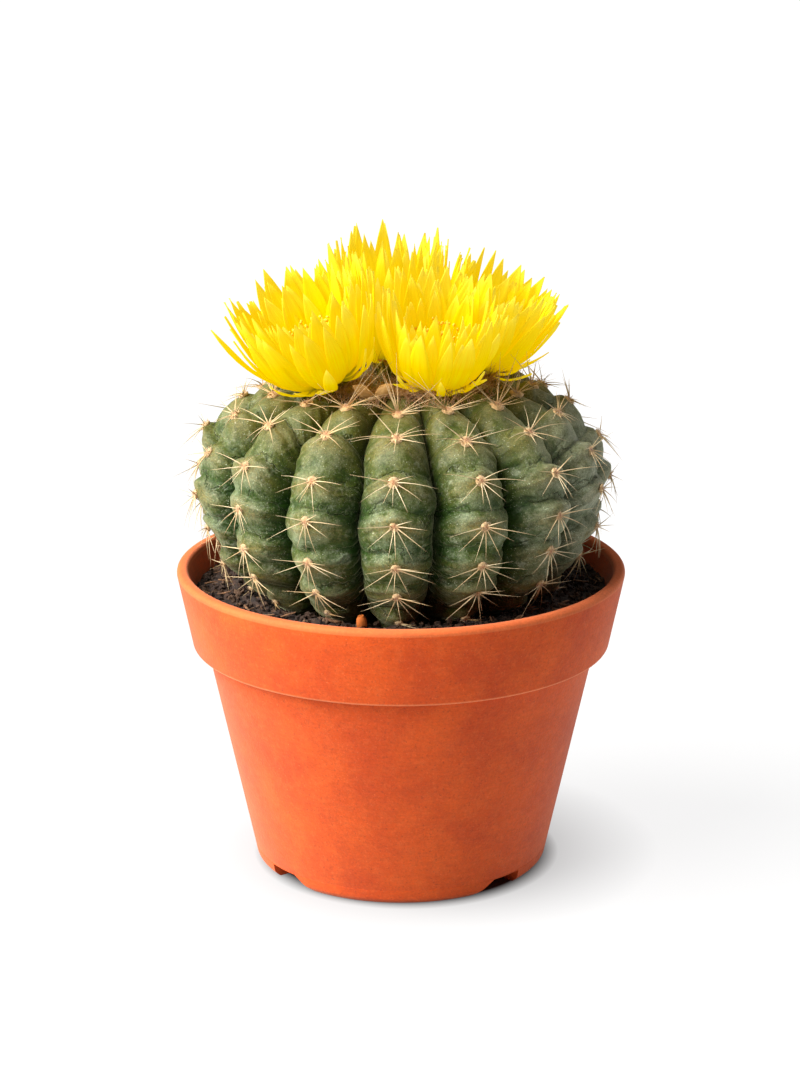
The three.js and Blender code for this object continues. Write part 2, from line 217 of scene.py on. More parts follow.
def set_points(piece, places):
    piece.data.vertices.foreach_set("co", np.asarray(places, dtype=np.float32).ravel())
    piece.data.update()


def toned(piece, **tones):
    """Keeps numbers for each point of a piece, for its material to read."""
    attributes = piece.data.attributes
    for name, values in tones.items():
        tone = attributes.get(name) or attributes.new(name, "FLOAT", "POINT")
        tone.data.foreach_set("value", np.broadcast_to(values, len(piece.data.vertices)).astype(np.float32))
    return piece


def copy_of(template, places):
    """A new object with its own copy of the template's mesh, with its points at these places."""
    piece = bpy.data.objects.new(template.name, template.data.copy())
    set_points(piece, places)
    bpy.context.collection.objects.link(piece)
    return piece


def join_batch(pieces):
    bpy.ops.object.select_all(action="DESELECT")
    for piece in pieces:
        piece.select_set(True)
    bpy.context.view_layer.objects.active = pieces[0]
    if len(pieces) > 1:
        bpy.ops.object.join()
    return bpy.context.active_object


def joined(name, pieces):
    """Joins pieces into one and names it. They are joined in batches as they come, which is quicker."""
    coming = iter(pieces)
    batches = []
    while batch := list(islice(coming, JOIN_BATCH)):
        batches.append(join_batch(batch))
    join_batch(batches)
    return named(name)


def discard(*pieces):
    for piece in pieces:
        bpy.data.objects.remove(piece, do_unlink=True)


def turned(name, profile, sides):
    """A wall of revolution: a ring extruded and resized from point to point, with both ends filled."""
    radius, level = profile[0]
    bpy.ops.mesh.primitive_circle_add(vertices=sides, radius=radius, fill_type="NOTHING")
    piece = named(name)
    with editing():
        bpy.ops.mesh.select_mode(type="EDGE")
        bpy.ops.mesh.select_all(action="SELECT")
        bpy.ops.transform.translate(value=(0, 0, level))
        for next_radius, next_level in profile[1:]:
            bpy.ops.mesh.extrude_region_move(TRANSFORM_OT_translate={"value": (0, 0, next_level - level)})
            share = next_radius / radius
            bpy.ops.transform.resize(value=(share, share, 1), center_override=(0, 0, next_level))
            radius, level = next_radius, next_level
        bpy.ops.mesh.select_all(action="SELECT")
        bpy.ops.mesh.fill_holes(sides=0)
        bpy.ops.mesh.select_all(action="SELECT")
        bpy.ops.mesh.normals_make_consistent(inside=False)
    return piece


def bevel_ring(piece, radius, level, width, segments):
    """Rounds the ring of edges at one radius and level."""
    near = 2e-5
    only(piece)
    with editing():
        bpy.ops.mesh.select_mode(type="EDGE")
        bpy.ops.mesh.select_all(action="DESELECT")
    places = points_of(piece)
    rings = np.hypot(places[:, 0], places[:, 1])
    on_ring = (abs(rings - radius) < near) & (abs(places[:, 2] - level) < near)
    for edge in piece.data.edges:
        edge.select = bool(on_ring[edge.vertices[0]] and on_ring[edge.vertices[1]])
    bpy.ops.object.mode_set(mode="EDIT")
    bpy.ops.mesh.bevel(offset=width, segments=segments, affect="EDGES")
    bpy.ops.object.mode_set(mode="OBJECT")


def turned_points(places, rotation, middle, scale=1):
    return (places * scale) @ np.array(rotation.to_matrix()).T + np.array(middle)


def random_rotation(rng):
    axis = Vector((rng.uniform(-1, 1), rng.uniform(-1, 1), rng.uniform(-1, 1) + 0.01)).normalized()
    return Quaternion(axis, rng.uniform(0, FULL_TURN))


def needle_template(sides, rings):
    """A slim upright needle, one unit long and one unit in radius at its foot, cut across into rings."""
    bpy.ops.mesh.primitive_cone_add(vertices=sides, radius1=1, radius2=0.2, depth=1, location=(0, 0, 0))
    needle = named("needle")
    with editing():
        for i in range(1, rings):
            bpy.ops.mesh.select_all(action="SELECT")
            bpy.ops.mesh.bisect(plane_co=(0, 0, i / rings - 0.5), plane_no=UP)
    set_points(needle, points_of(needle) + np.array([0, 0, 0.5]))
    return needle


def needle_points(shape, root, way, side, length, radius, bend):
    """A needle from its root along its way, bent towards its side."""
    forward = Vector(way).normalized()
    across = (Vector(side) - forward * forward.dot(side)).normalized()
    basis = np.array([across, forward.cross(across), forward])
    scaled = shape * np.array([radius, radius, length])
    scaled[:, 0] += bend * length * shape[:, 2] ** 2
    return scaled @ basis + np.array(root)


def finish_piece(piece, finish, slot, *nodes, smooth_angle=None):
    """Gives a finished piece its material and its body, and hides the nodes that it stands for. The slot is
    not used.
    """
    piece.data.materials.clear()
    piece.data.materials.append(finish)
    only(piece)
    if smooth_angle is None:
        bpy.ops.object.shade_smooth()
    else:
        bpy.ops.object.shade_smooth_by_angle(angle=math.radians(smooth_angle))
    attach(piece, "root")
    if nodes:
        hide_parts(*nodes)
    return piece


# Building materials.

def shade(red, green, blue):
    """A screen colour from 0 to 255 as the linear colour that a shader takes."""
    parts = [value / 255 for value in (red, green, blue)]
    linear = [p / 12.92 if p <= 0.04045 else ((p + 0.055) / 1.055) ** 2.4 for p in parts]
    return (*linear, 1)


class Finish:
    """A material while it is made: its colour so far, and the nodes that vary it over the piece."""

    def __init__(self, name):
        self.material = bpy.data.materials.new(name)
        self.material.use_nodes = True
        self.tree = self.material.node_tree
        self.tree.nodes.clear()
        self.place = self.add("ShaderNodeTexCoord").outputs["Object"]

    def add(self, kind, inputs=None, **settings):
        node = self.tree.nodes.new(kind)
        for key, value in settings.items():
            setattr(node, key, value)
        for key, value in (inputs or {}).items():
            if isinstance(value, bpy.types.NodeSocket):
                self.tree.links.new(value, node.inputs[key])
            else:
                node.inputs[key].default_value = value
        return node

    def part_of_place(self, axis):
        return self.add("ShaderNodeSeparateXYZ", {0: self.place}).outputs[axis]

    def tone(self, name):
        return self.add("ShaderNodeAttribute", attribute_name=name).outputs["Fac"]

    def grain(self, size, detail=3.0, rough=0.55, place=None):
        """Noise with features of about this size."""
        inputs = {"Vector": place or self.place, "Scale": 1 / size, "Detail": detail, "Roughness": rough}
        return self.add("ShaderNodeTexNoise", inputs).outputs["Fac"]

    def ranged(self, value, low, high, to_low=0.0, to_high=1.0):
        inputs = {"Value": value, "From Min": low, "From Max": high, "To Min": to_low, "To Max": to_high}
        return self.add("ShaderNodeMapRange", inputs).outputs["Result"]

    def patches(self, size, detail, *span, rough=0.55, place=None):
        """Noise of this size that is stretched from a span of its own values to a span of shares."""
        return self.ranged(self.grain(size, detail, rough, place), *span)

    def sum_up(self, how, first, second=0.0):
        return self.add("ShaderNodeMath", {0: first, 1: second}, operation=how).outputs[0]

    def times(self, first, *others):
        for other in others:
            first = self.sum_up("MULTIPLY", first, other)
        return first

    def away_from(self, middle):
        inputs = {0: self.place, 1: middle}
        return self.add("ShaderNodeVectorMath", inputs, operation="DISTANCE").outputs["Value"]

    def mixed(self, share, first, second):
        return self.add("ShaderNodeMix", {0: share, 6: first, 7: second}, data_type="RGBA").outputs[2]

    def start(self, share, first, second):
        """Two colours that vary over the piece."""
        self.colour = self.mixed(share, shade(*first), shade(*second))

    def coat(self, share, colour):
        """A share of another colour over the colour so far."""
        self.colour = self.mixed(share, self.colour, shade(*colour))

    def dimmed(self, share):
        inputs = {0: self.colour, "Scale": share}
        return self.add("ShaderNodeVectorMath", inputs, operation="SCALE").outputs[0]

    def bumped(self, height, distance, strength, normal=None):
        inputs = {"Height": height, "Distance": distance, "Strength": strength}
        if normal:
            inputs["Normal"] = normal
        return self.add("ShaderNodeBump", inputs).outputs["Normal"]

    def surface(self, **inputs):
        """The shader that all finishes use, with its inputs by name."""
        by_name = {key.replace("_", " "): value for key, value in inputs.items()}
        return self.add("ShaderNodeBsdfPrincipled", by_name).outputs[0]

    def done(self, shader=None, **inputs):
        """Ends the material with a shader, or with a plain surface in its colour."""
        shader = shader or self.surface(Base_Color=self.colour, **inputs)
        self.add("ShaderNodeOutputMaterial", {"Surface": shader})
        return self.material


# The finishes.

# Painted highlights on the pot's edges: the levels where the pale lip starts and ends, and a pale line at
# the collar's edge.
LIP_HIGHLIGHT = (POT_HEIGHT - 0.00092, POT_HEIGHT - 0.00078)
COLLAR_HIGHLIGHT_LEVEL = COLLAR_BOTTOM + 0.00016
COLLAR_HIGHLIGHT = (0.00008, 0.00026)
# Brushed rings run round the pot, so their noise is squeezed this much from top to bottom.
BRUSHED = (1, 1, 8)


def orange_plastic():
    look = Finish("orange_plastic")
    height = look.part_of_place("Z")
    look.start(look.patches(0.009, 4, 0.35, 0.66, rough=0.6), (189, 63, 5), (210, 80, 10))
    look.coat(look.patches(0.0014, 5, 0.48, 0.78, 0, 0.4, rough=0.75), (218, 102, 42))
    look.coat(look.patches(0.0003, 2, 0.6, 0.72, 0, 0.5), (140, 46, 16))
    look.coat(look.patches(0.00024, 2, 0.62, 0.74, 0, 0.3), (228, 124, 72))
    # A pale band round the lip: a painted highlight on its rounded edge.
    look.coat(look.ranged(height, *LIP_HIGHLIGHT, 0, 0.45), (226, 124, 70))
    # A thin pale line at the collar's bottom edge: a painted highlight on its rounding.
    from_edge = look.sum_up("ABSOLUTE", look.sum_up("SUBTRACT", height, COLLAR_HIGHLIGHT_LEVEL))
    look.coat(look.ranged(from_edge, *COLLAR_HIGHLIGHT, 0.45, 0), (236, 144, 92))
    rings = look.add("ShaderNodeVectorMath", {0: look.place, 1: BRUSHED}, operation="MULTIPLY").outputs[0]
    grit = look.patches(0.0004, 4, 0.32, 0.68, 0.88, 1.12, rough=0.75)
    brushed = look.patches(0.003, 4, 0.34, 0.66, 0.95, 1.05, rough=0.6, place=rings)
    look.colour = look.dimmed(look.times(grit, brushed))
    skin = look.bumped(look.grain(0.00036), 0.00005, 0.8)
    skin = look.bumped(look.grain(0.004, 2), 0.00015, 0.35, skin)
    rough = look.patches(0.0009, 3, 0.3, 0.7, 0.68, 0.8)
    return look.done(Roughness=rough, Normal=skin, Specular_IOR_Level=0.24,
                     Sheen_Weight=0.2, Sheen_Roughness=0.5, Sheen_Tint=shade(255, 214, 186))


def dark_soil():
    look = Finish("dark_soil")
    look.start(look.patches(0.0016, 4, 0.35, 0.7, rough=0.65), (25, 15, 10), (64, 43, 31))
    look.coat(look.patches(0.0005, 2, 0.62, 0.74, 0, 0.45), (128, 100, 78))
    look.coat(look.times(look.tone("pale"), 0.6), (124, 92, 66))
    return look.done(Roughness=0.86, Normal=look.bumped(look.grain(0.0004, 4, 0.7), 0.00025, 0.8))


def bark_chips():
    look = Finish("bark_chips")
    look.start(look.patches(0.0006, 3, 0.35, 0.65), (78, 50, 32), (140, 100, 66))
    look.coat(look.tone("orange"), (196, 102, 32))
    return look.done(Roughness=0.8, Normal=look.bumped(look.grain(0.0003), 0.0001, 0.6))


def crease_lines(look, drift, times, shift, width):
    """Thin lines across a rib, this many from one areole to the next."""
    way = look.sum_up("ADD", look.times(look.tone("phase"), times), drift)
    part = look.sum_up("FRACT", look.sum_up("ADD", way, shift))
    off = look.sum_up("ABSOLUTE", look.sum_up("SUBTRACT", part, 0.5))
    return look.ranged(off, 0.0, width, 1, 0)


def green_skin():
    look = Finish("green_skin")
    flank = look.tone("flank")
    height = look.part_of_place("Z")
    broad = look.grain(0.0042, 3, 0.6)
    cloud = look.grain(0.0017, 4, 0.6)
    fine = look.grain(0.0005, 5, 0.75)
    look.start(look.ranged(cloud, 0.34, 0.66), (38, 68, 14), (80, 98, 40))
    # Darker green towards the furrows: partly the skin's own deeper green, partly painted shade in the
    # furrows.
    look.coat(look.ranged(flank, 0.28, 0.68, 0, 0.9), (21, 60, 4))
    # The skin is paler on the brows, partly its waxy bloom and partly a painted highlight where the brows
    # face up, and stays green in the furrows.
    bloom_and_highlight = look.ranged(look.tone("relief"), -0.5, 1.0, 0.08, 0.38)
    bloom_and_highlight = look.sum_up("ADD", bloom_and_highlight, look.ranged(cloud, 0.34, 0.66, -0.2, 0.26))
    bloom_and_highlight = look.sum_up("ADD", bloom_and_highlight, look.ranged(fine, 0.36, 0.64, -0.2, 0.24))
    bloom_and_highlight = look.sum_up("ADD", bloom_and_highlight, look.ranged(broad, 0.35, 0.65, -0.2, 0.22))
    bloom_and_highlight = look.sum_up("SUBTRACT", bloom_and_highlight, look.ranged(flank, 0.3, 0.7, 0.0, 0.68))
    look.coat(look.ranged(bloom_and_highlight, 0.0, 0.9, 0.0, 0.88), (147, 161, 131))
    scuff = look.patches(0.002, 5, 0.55, 0.7, 0, 0.6, rough=0.7)
    scuff = look.times(scuff, look.ranged(flank, 0.2, 0.4), look.ranged(flank, 0.5, 0.8, 1, 0.1))
    look.coat(scuff, (178, 186, 160))
    look.coat(look.times(look.tone("near_areole"), look.ranged(fine, 0.4, 0.6, 0.3, 0.95)), (134, 116, 54))
    # It is golden near the crown and brown near the soil, and its side away from the key light is painted
    # paler as a painted highlight.
    golden = look.times(look.ranged(height, 0.058, 0.071), look.ranged(cloud, 0.36, 0.62, 0.3, 0.8))
    look.coat(golden, (108, 100, 40))
    # The right side is painted paler: a painted highlight standing in for light from the right and behind.
    painted_rim_light = look.ranged(look.part_of_place("X"), 0.015, 0.029)
    look.coat(look.times(painted_rim_light, look.ranged(cloud, 0.36, 0.62, 0.25, 0.7)), (174, 177, 152))
    look.coat(look.times(look.tone("low"), look.ranged(cloud, 0.38, 0.6, 0.1, 0.8)), (84, 70, 37))
    drift = look.patches(0.003, 3, 0.3, 0.7, -0.24, 0.24)
    crease = look.times(crease_lines(look, drift, 1, 0.88, 0.05), look.patches(0.0035, 1, 0.42, 0.56))
    ripple = crease_lines(look, look.times(drift, 1.3), 3, 0.2, 0.24)
    ripple = look.times(ripple, look.ranged(height, 0.062, 0.068, 1, 0.15), look.ranged(flank, 0.18, 0.5),
                        look.ranged(broad, 0.4, 0.58, 0.2, 1))
    # Dark lines along the creases and folds: painted shade in them.
    look.coat(look.times(crease, 0.5), (34, 44, 20))
    look.coat(look.times(ripple, 0.55), (30, 50, 18))
    look.colour = look.dimmed(look.patches(0.00022, 3, 0.33, 0.67, 0.5, 1.1, rough=0.7))
    speck = look.times(look.patches(0.00019, 1, 0.66, 0.74, 0, 0.7), look.ranged(cloud, 0.4, 0.6, 0.2, 1))
    look.coat(speck, (196, 202, 170))
    skin = look.bumped(ripple, -0.00022, 0.8)
    skin = look.bumped(crease, -0.0002, 0.9, skin)
    skin = look.bumped(cloud, 0.0003, 0.5, skin)
    skin = look.bumped(fine, 0.00016, 0.5, skin)
    return look.done(Roughness=look.ranged(fine, 0.3, 0.7, 0.42, 0.64), Normal=skin, Specular_IOR_Level=0.2,
                     Subsurface_Weight=0.05, Subsurface_Scale=0.001,
                     Sheen_Weight=0.4, Sheen_Roughness=0.3, Sheen_Tint=shade(220, 224, 176))


def straw_spines():
    look = Finish("straw_spines")
    along = look.tone("along")
    gold = look.tone("gold")
    look.start(gold, (216, 196, 156), (194, 150, 88))
    look.coat(look.ranged(gold, 0.6, 1.0), (166, 116, 52))
    look.coat(look.ranged(along, 0.0, 0.22, 0.7, 0), (170, 118, 62))
    look.coat(look.ranged(along, 0.75, 1.0, 0, 0.35), (180, 136, 92))
    return look.done(Roughness=0.42)


def tan_buds():
    look = Finish("tan_buds")
    # A light tan: partly the buds' own colour, partly painted light standing in for yellow light from the
    # flowers.
    look.start(look.patches(0.001, 2, 0.35, 0.65), (198, 148, 82), (216, 170, 104))
    return look.done(Roughness=0.8, Normal=look.bumped(look.grain(0.00018, 2), 0.0001, 0.6))


def felt_wool():
    look = Finish("felt_wool")
    look.start(look.patches(0.0003, 3, 0.35, 0.65), (184, 146, 100), (218, 188, 142))
    look.coat(look.tone("gold"), (208, 164, 102))
    look.coat(look.ranged(look.tone("along"), 0.1, 0.75, 0.85, 0), (158, 98, 60))
    pile = look.bumped(look.grain(0.00018, 2), 0.0001, 0.7)
    return look.done(Roughness=0.92, Normal=pile, Sheen_Weight=0.35, Sheen_Roughness=0.5)


# The petals glow by emission, less at their feet: painted light that stands in for light coming through a
# whole flower.
PETAL_PAINTED_GLOW = (0.56, 0.77)
PETAL_DEPTH = 0.55
PETAL_THROUGH = 0.38
# The veins are noise with this scale, that runs this much quicker across a petal than along it.
VEIN_SCALE = 2.2
VEIN_STRETCH = 5.0


def yellow_petals():
    look = Finish("yellow_petals")
    along = look.tone("along")
    warm = look.tone("warm")
    # More golden towards the petals' feet: partly their own colour, partly painted shade in the flower's
    # bowl.
    look.start(look.ranged(along, 0.0, 0.6), (255, 211, 0), (255, 235, 0))
    # Paler towards the tips, most on outer petals: partly the petals' own paler tips, partly painted light
    # shining through them.
    pale = look.times(look.ranged(along, 0.7, 1.0, 0, 0.7), look.ranged(warm, 0.0, 0.45, 1, 0.35))
    look.coat(pale, (255, 244, 82))
    look.coat(look.ranged(along, 0.9, 1.0, 0, 0.35), (255, 246, 120))
    # Warmer gold on some petals, more on inner layers: partly random tone, partly painted shade deeper in
    # the flower.
    look.coat(look.times(warm, 0.35), (255, 210, 0))
    stripes = look.add("ShaderNodeCombineXYZ", {0: look.times(look.tone("across"), VEIN_STRETCH), 1: along})
    vein = look.grain(1 / VEIN_SCALE, 3, 0.5, stripes.outputs[0])
    look.coat(look.times(look.ranged(vein, 0.35, 0.65), 0.5), (255, 203, 0))
    look.coat(look.ranged(along, 0.08, 0.36, 0.8, 0), (132, 134, 18))
    ribbed = look.bumped(vein, 0.00012, 0.5)
    body = look.dimmed(PETAL_DEPTH)
    rough = look.patches(0.002, 2, 0.3, 0.7, 0.5, 0.64)
    # Emission: painted light, dimmer towards the petals' feet.
    glow = look.ranged(along, 0.15, 0.9, *PETAL_PAINTED_GLOW)
    front = look.surface(Base_Color=body, Roughness=rough, Normal=ribbed, Specular_IOR_Level=0.0,
                         Emission_Color=look.colour, Emission_Strength=glow)
    through = look.add("ShaderNodeBsdfTranslucent", {"Color": body, "Normal": ribbed}).outputs[0]
    return look.done(look.add("ShaderNodeMixShader", {0: PETAL_THROUGH, 1: front, 2: through}).outputs[0])


def green_tube():
    look = Finish("green_tube")
    look.start(look.patches(0.001, 3, 0.35, 0.65), (86, 100, 34), (128, 138, 52))
    look.coat(look.ranged(look.tone("along"), 0.55, 1.0), (206, 176, 26))
    return look.done(Roughness=0.6, Normal=look.bumped(look.grain(0.0004, 2), 0.0001, 0.5))


def gold_pollen():
    look = Finish("gold_pollen")
    look.start(look.patches(0.0002, 2, 0.35, 0.65), (250, 178, 12), (255, 214, 60))
    look.coat(look.ranged(look.tone("along"), 0.0, 0.8, 0.8, 0), (238, 142, 6))
    return look.done(Roughness=0.75)


# The floor glows a little, like a light table, so that its cast shadow stays soft and pale.
# The glow is taken away in a painted shadow beside the pot, centred right of the pot's middle, and in
# painted shade round its foot.
# Each span runs from the dark middle of a painted shadow to its pale edge.
FLOOR_GLOW = 0.88
PAINTED_SHADOW_MIDDLE = (0.0045, 0.0012, 0)
PAINTED_SHADOW = (0.008, 0.034)
PAINTED_SHADOW_FADE = 0.48
PAINTED_SHADE_UNDER_POT_MIDDLE = (0.0008, 0.0, 0)
PAINTED_SHADE_UNDER_POT = (0.0194, 0.0226)


def pale_floor():
    look = Finish("pale_floor")
    look.start(look.grain(0.15, 2), (84, 84, 84), (88, 88, 88))
    # Painted shadow beside the pot and painted shade round its foot, cut out of the floor's glow.
    beside = look.sum_up("POWER", look.ranged(look.away_from(PAINTED_SHADOW_MIDDLE), *PAINTED_SHADOW), PAINTED_SHADOW_FADE)
    under = look.ranged(look.away_from(PAINTED_SHADE_UNDER_POT_MIDDLE), *PAINTED_SHADE_UNDER_POT)
    return look.done(Roughness=0.95, Specular_IOR_Level=0.0, Emission_Color=(1, 1, 1, 1),
                     Emission_Strength=look.times(beside, under, FLOOR_GLOW))


# The pot.

def wall_radius(z):
    return WALL_AT_FOOT + WALL_TAPER * z


def collar_radius(z):
    return COLLAR_AT_ZERO + COLLAR_TAPER * z


def wall_inside(z):
    return wall_radius(z) - WALL


def collar_inside(z):
    return collar_radius(z) - COLLAR_WALL


def notch_cutter(centre, mirrored):
    """A bar that is upright on one side and sloping on the other, across the foot ring."""
    below = 0.001
    height = NOTCH_HEIGHT + below
    bpy.ops.mesh.primitive_cube_add(size=1)
    bar = named("notch_cutter")
    places = points_of(bar)
    places[:, 2] = places[:, 2] * height + (NOTCH_HEIGHT - below) / 2
    spread = np.where((places[:, 2] < 0) & (places[:, 0] > 0), NOTCH_SLOPE * height / NOTCH_HEIGHT, 0)
    places[:, 0] = places[:, 0] * NOTCH_WIDTH + spread
    places[:, 1] = places[:, 1] * NOTCH_REACH - FOOT_RADIUS
    if mirrored:
        places[:, 0] *= -1
        bar.data.flip_normals()
    set_points(bar, places)
    bar.data.transform(Matrix.Rotation(math.radians(centre), 4, "Z"))
    return bar


def drain_cutter(distance, angle):
    depth = 4 * (BASE_TOP - BASE_UNDER)
    bpy.ops.mesh.primitive_cylinder_add(vertices=DRAIN_SIDES, radius=DRAIN_RADIUS, depth=depth)
    drain = named("drain_cutter")
    turn = Matrix.Rotation(math.radians(angle), 4, "Z")
    drain.data.transform(turn @ Matrix.Translation((distance, 0, (BASE_TOP + BASE_UNDER) / 2)))
    return drain


def make_pot():
    ring = FOOT_RADIUS - FOOT_RING
    corner = collar_radius(COLLAR_BOTTOM)
    under_collar = wall_radius(COLLAR_BOTTOM)
    inner_rim = collar_inside(POT_HEIGHT)
    profile = [
        (ring, BASE_UNDER),
        (ring, 0),
        (FOOT_RADIUS, 0),
        (wall_radius(FOOT_ROUND), FOOT_ROUND),
        (wall_radius(SEAM_LEVEL), SEAM_LEVEL),
        (wall_radius(SEAM_LEVEL) - SEAM_STEP, SEAM_LEVEL + SEAM_STEP),
        (wall_radius(SEAM_LEVEL + 3 * SEAM_STEP), SEAM_LEVEL + 4 * SEAM_STEP),
        (under_collar, COLLAR_BOTTOM),
        (corner, COLLAR_BOTTOM),
        (RIM_RADIUS, POT_HEIGHT),
        (inner_rim, POT_HEIGHT),
        (collar_inside(LEDGE), LEDGE),
        (wall_inside(LEDGE), LEDGE),
        (wall_inside(BASE_TOP), BASE_TOP),
    ]
    # Rounded edges as (radius, level, width, segments).
    rounds = (
        (RIM_RADIUS, POT_HEIGHT, 0.00085, 6),
        (inner_rim, POT_HEIGHT, 0.00045, 4),
        (corner, COLLAR_BOTTOM, 0.00035, 4),
        (under_collar, COLLAR_BOTTOM, 0.0003, 3),
        (FOOT_RADIUS, 0, 0.0002, 2),
        (wall_radius(FOOT_ROUND), FOOT_ROUND, 0.0003, 3),
        (wall_inside(LEDGE), LEDGE, 0.0003, 3),
    )
    pot = turned("pot_body", profile, POT_SIDES)
    for edge in rounds:
        bevel_ring(pot, *edge)
    cutters = [notch_cutter(centre, i % 2 == 1) for i, centre in enumerate(NOTCH_CENTRES)]
    cutters += [drain_cutter(DRAIN_AT, centre) for centre in NOTCH_CENTRES]
    cutters.append(drain_cutter(0, 0))
    for cutter in cutters:
        apply_modifier(pot, "BOOLEAN", operation="DIFFERENCE", solver="EXACT", object=cutter)
    discard(*cutters)
    return finish_piece(pot, orange_plastic(), "pot", "pot", smooth_angle=32)


# The stem's form.

def crest(angle):
    """Radius and height of the crest line at an elevation angle in degrees."""
    a = np.radians(angle)
    radius = STEM_RADIUS * np.maximum(0, np.cos(a)) ** STEM_FULLNESS
    rise = np.where(a > 0, STEM_UP, STEM_DOWN) * np.sin(a)
    dip = np.where(a > 0, CROWN_DIP * np.exp(-((radius / CROWN_DIP_WIDTH) ** 2)), 0)
    return radius, STEM_LEVEL + rise - dip


def crest_normal(angle):
    """The outward direction of the crest line, as (radial, up)."""
    upper = np.minimum(89.9, angle + 0.5)
    high_radius, high_level = crest(upper)
    low_radius, low_level = crest(upper - 1)
    dr = high_radius - low_radius
    dz = high_level - low_level
    length = np.hypot(dr, dz)
    return dz / length, -dr / length


def crown_height(radius):
    radii, levels = crest(np.arange(89, 1, -0.25))
    return float(levels[np.argmax(radii >= radius)])


def underside_radius(z):
    radii, levels = crest(np.arange(-89, -1, 0.25))
    return float(np.interp(z, levels, radii))


def rib_share(angle):
    return smoothstep(angle, *RIBS_START) * (1 - smoothstep(angle, *RIBS_END))


def stagger(rib):
    return ROW_STAGGER * np.sin(2.4 * rib + 0.6)


def rib_angle(rib):
    return np.radians(FIRST_RIB + 360 / RIBS * rib - 90)


# How a rib swells and sinks on the way down from one areole (0) to the next (1).
TUBERCLE = ((0, 0.8), (0.1, 0.7), (0.6, -0.55), (0.64, -0.6), (0.86, 1.0), (1, 0.8))
TUBERCLE_HEIGHT = 0.0006
CREASE_AT = 0.625
CREASE_DEPTH = 0.00022
CREASE_WIDTH = 0.035
FOLDS = 3
FOLD_HEIGHT = 0.00016
EXTRA_ROWS_ABOVE = (90, 79)
EXTRA_ROWS_BELOW = (-54, -67, -84)
# No rib grows quite even: how far points stray, how quickly that varies, and where the noise is read.
WANDER = 0.0007
WANDER_SCALE = 190
WANDER_SHIFTS = ((0, 0, 0), (31.4, 15.9, 26.5), (57.7, 21.5, 66.4))
LUMP_HEIGHT = 0.00022
LUMP_SCALE = 260
WRINKLE_HEIGHT = 0.00007
WRINKLE_SCALE = 900
WRINKLE_STRETCH = np.array([1, 1, 1.8])
COLUMNS_PER_RIB = 28
STEM_ROWS = 230
# Elevations on the ball that the stem starts from, and the angles on the crest line that they become.
ROOT_ELEVATION = -80
ELEVATIONS = (-90, ROOT_ELEVATION, -72, 78, 90)
CREST_ANGLES = (NECK_ANGLE, NECK_ANGLE, -54, 70, 90)
ROOT_SHARES = (0, 0.85, 1)


def row_place(angle):
    """The share of the way down from one areole to the next, alone and counted on by rows."""
    rows = np.array([*EXTRA_ROWS_ABOVE, *AREOLE_ANGLES, *EXTRA_ROWS_BELOW], dtype=float)
    above = np.clip(np.searchsorted(-rows, -angle, side="right") - 1, 0, len(rows) - 2)
    way = np.clip((rows[above] - angle) / (rows[above] - rows[above + 1]), 0, 1)
    return way, above + way


def stem_point(angle, rib, across, swell):
    """Points of the stem: across runs from -1 to 1 over a rib, and swell is the height of the relief."""
    share = rib_share(angle)
    off = np.abs(across)
    shifted = angle + share * (stagger(rib) * (1 - off) - ROW_SLOPE * off)
    radius, level = crest(shifted)
    out_radial, out_up = crest_normal(shifted)
    round_over = off * np.pi / 2
    furrow = FURROW_SHARE * radius * (1 - np.cos(round_over))
    lift = share * (swell * (1 - 0.45 * off) * radius / STEM_RADIUS - furrow)
    ring = np.maximum(0, radius + lift * out_radial)
    spread = off + share * RIB_ROUND * (np.sin(round_over) - off)
    theta = rib_angle(rib) + np.sign(across) * spread * np.pi / RIBS
    return np.stack([ring * np.cos(theta), ring * np.sin(theta), level + lift * out_up], axis=-1)


def stem_swell(angle, across, rib):
    """Relief of the skin, its tone from -1 in a crease to 1 on a brow, and how far along its row it is."""
    way, phase = row_place(angle)
    side = np.sign(across)
    off = np.abs(across)
    row = np.floor(phase)
    tilt = 0.07 * np.sin(2.1 * row + 3.7 * rib) * across + 0.05 * np.sin(1.3 * row + 1.9 * rib + side)
    warped = np.clip(way + tilt * np.sin(np.pi * way), 0, 1)
    brow = eased(warped, TUBERCLE) * (1 + 0.3 * np.sin(1.7 * row + 2.9 * rib))
    crease = np.exp(-(((warped - CREASE_AT) / CREASE_WIDTH) ** 2))
    crease = crease * (0.8 + 0.5 * np.sin(2.6 * row + 1.1 * rib + side))
    folded = smoothstep(off, 0.15, 0.5) * (1 - smoothstep(off, 0.75, 1))
    folds = folded * np.sin(2 * np.pi * FOLDS * (warped + 0.1 * np.sin(4 * across + 2.3 * rib)))
    swell = TUBERCLE_HEIGHT * brow - CREASE_DEPTH * crease + FOLD_HEIGHT * folds
    return swell, brow - 0.5 * crease + 0.4 * folds, phase


def wander(place):
    """How far a point of the stem is off its regular place."""
    here = Vector(place) * WANDER_SCALE
    return Vector([noise.noise(here + Vector(shift)) for shift in WANDER_SHIFTS]) * WANDER


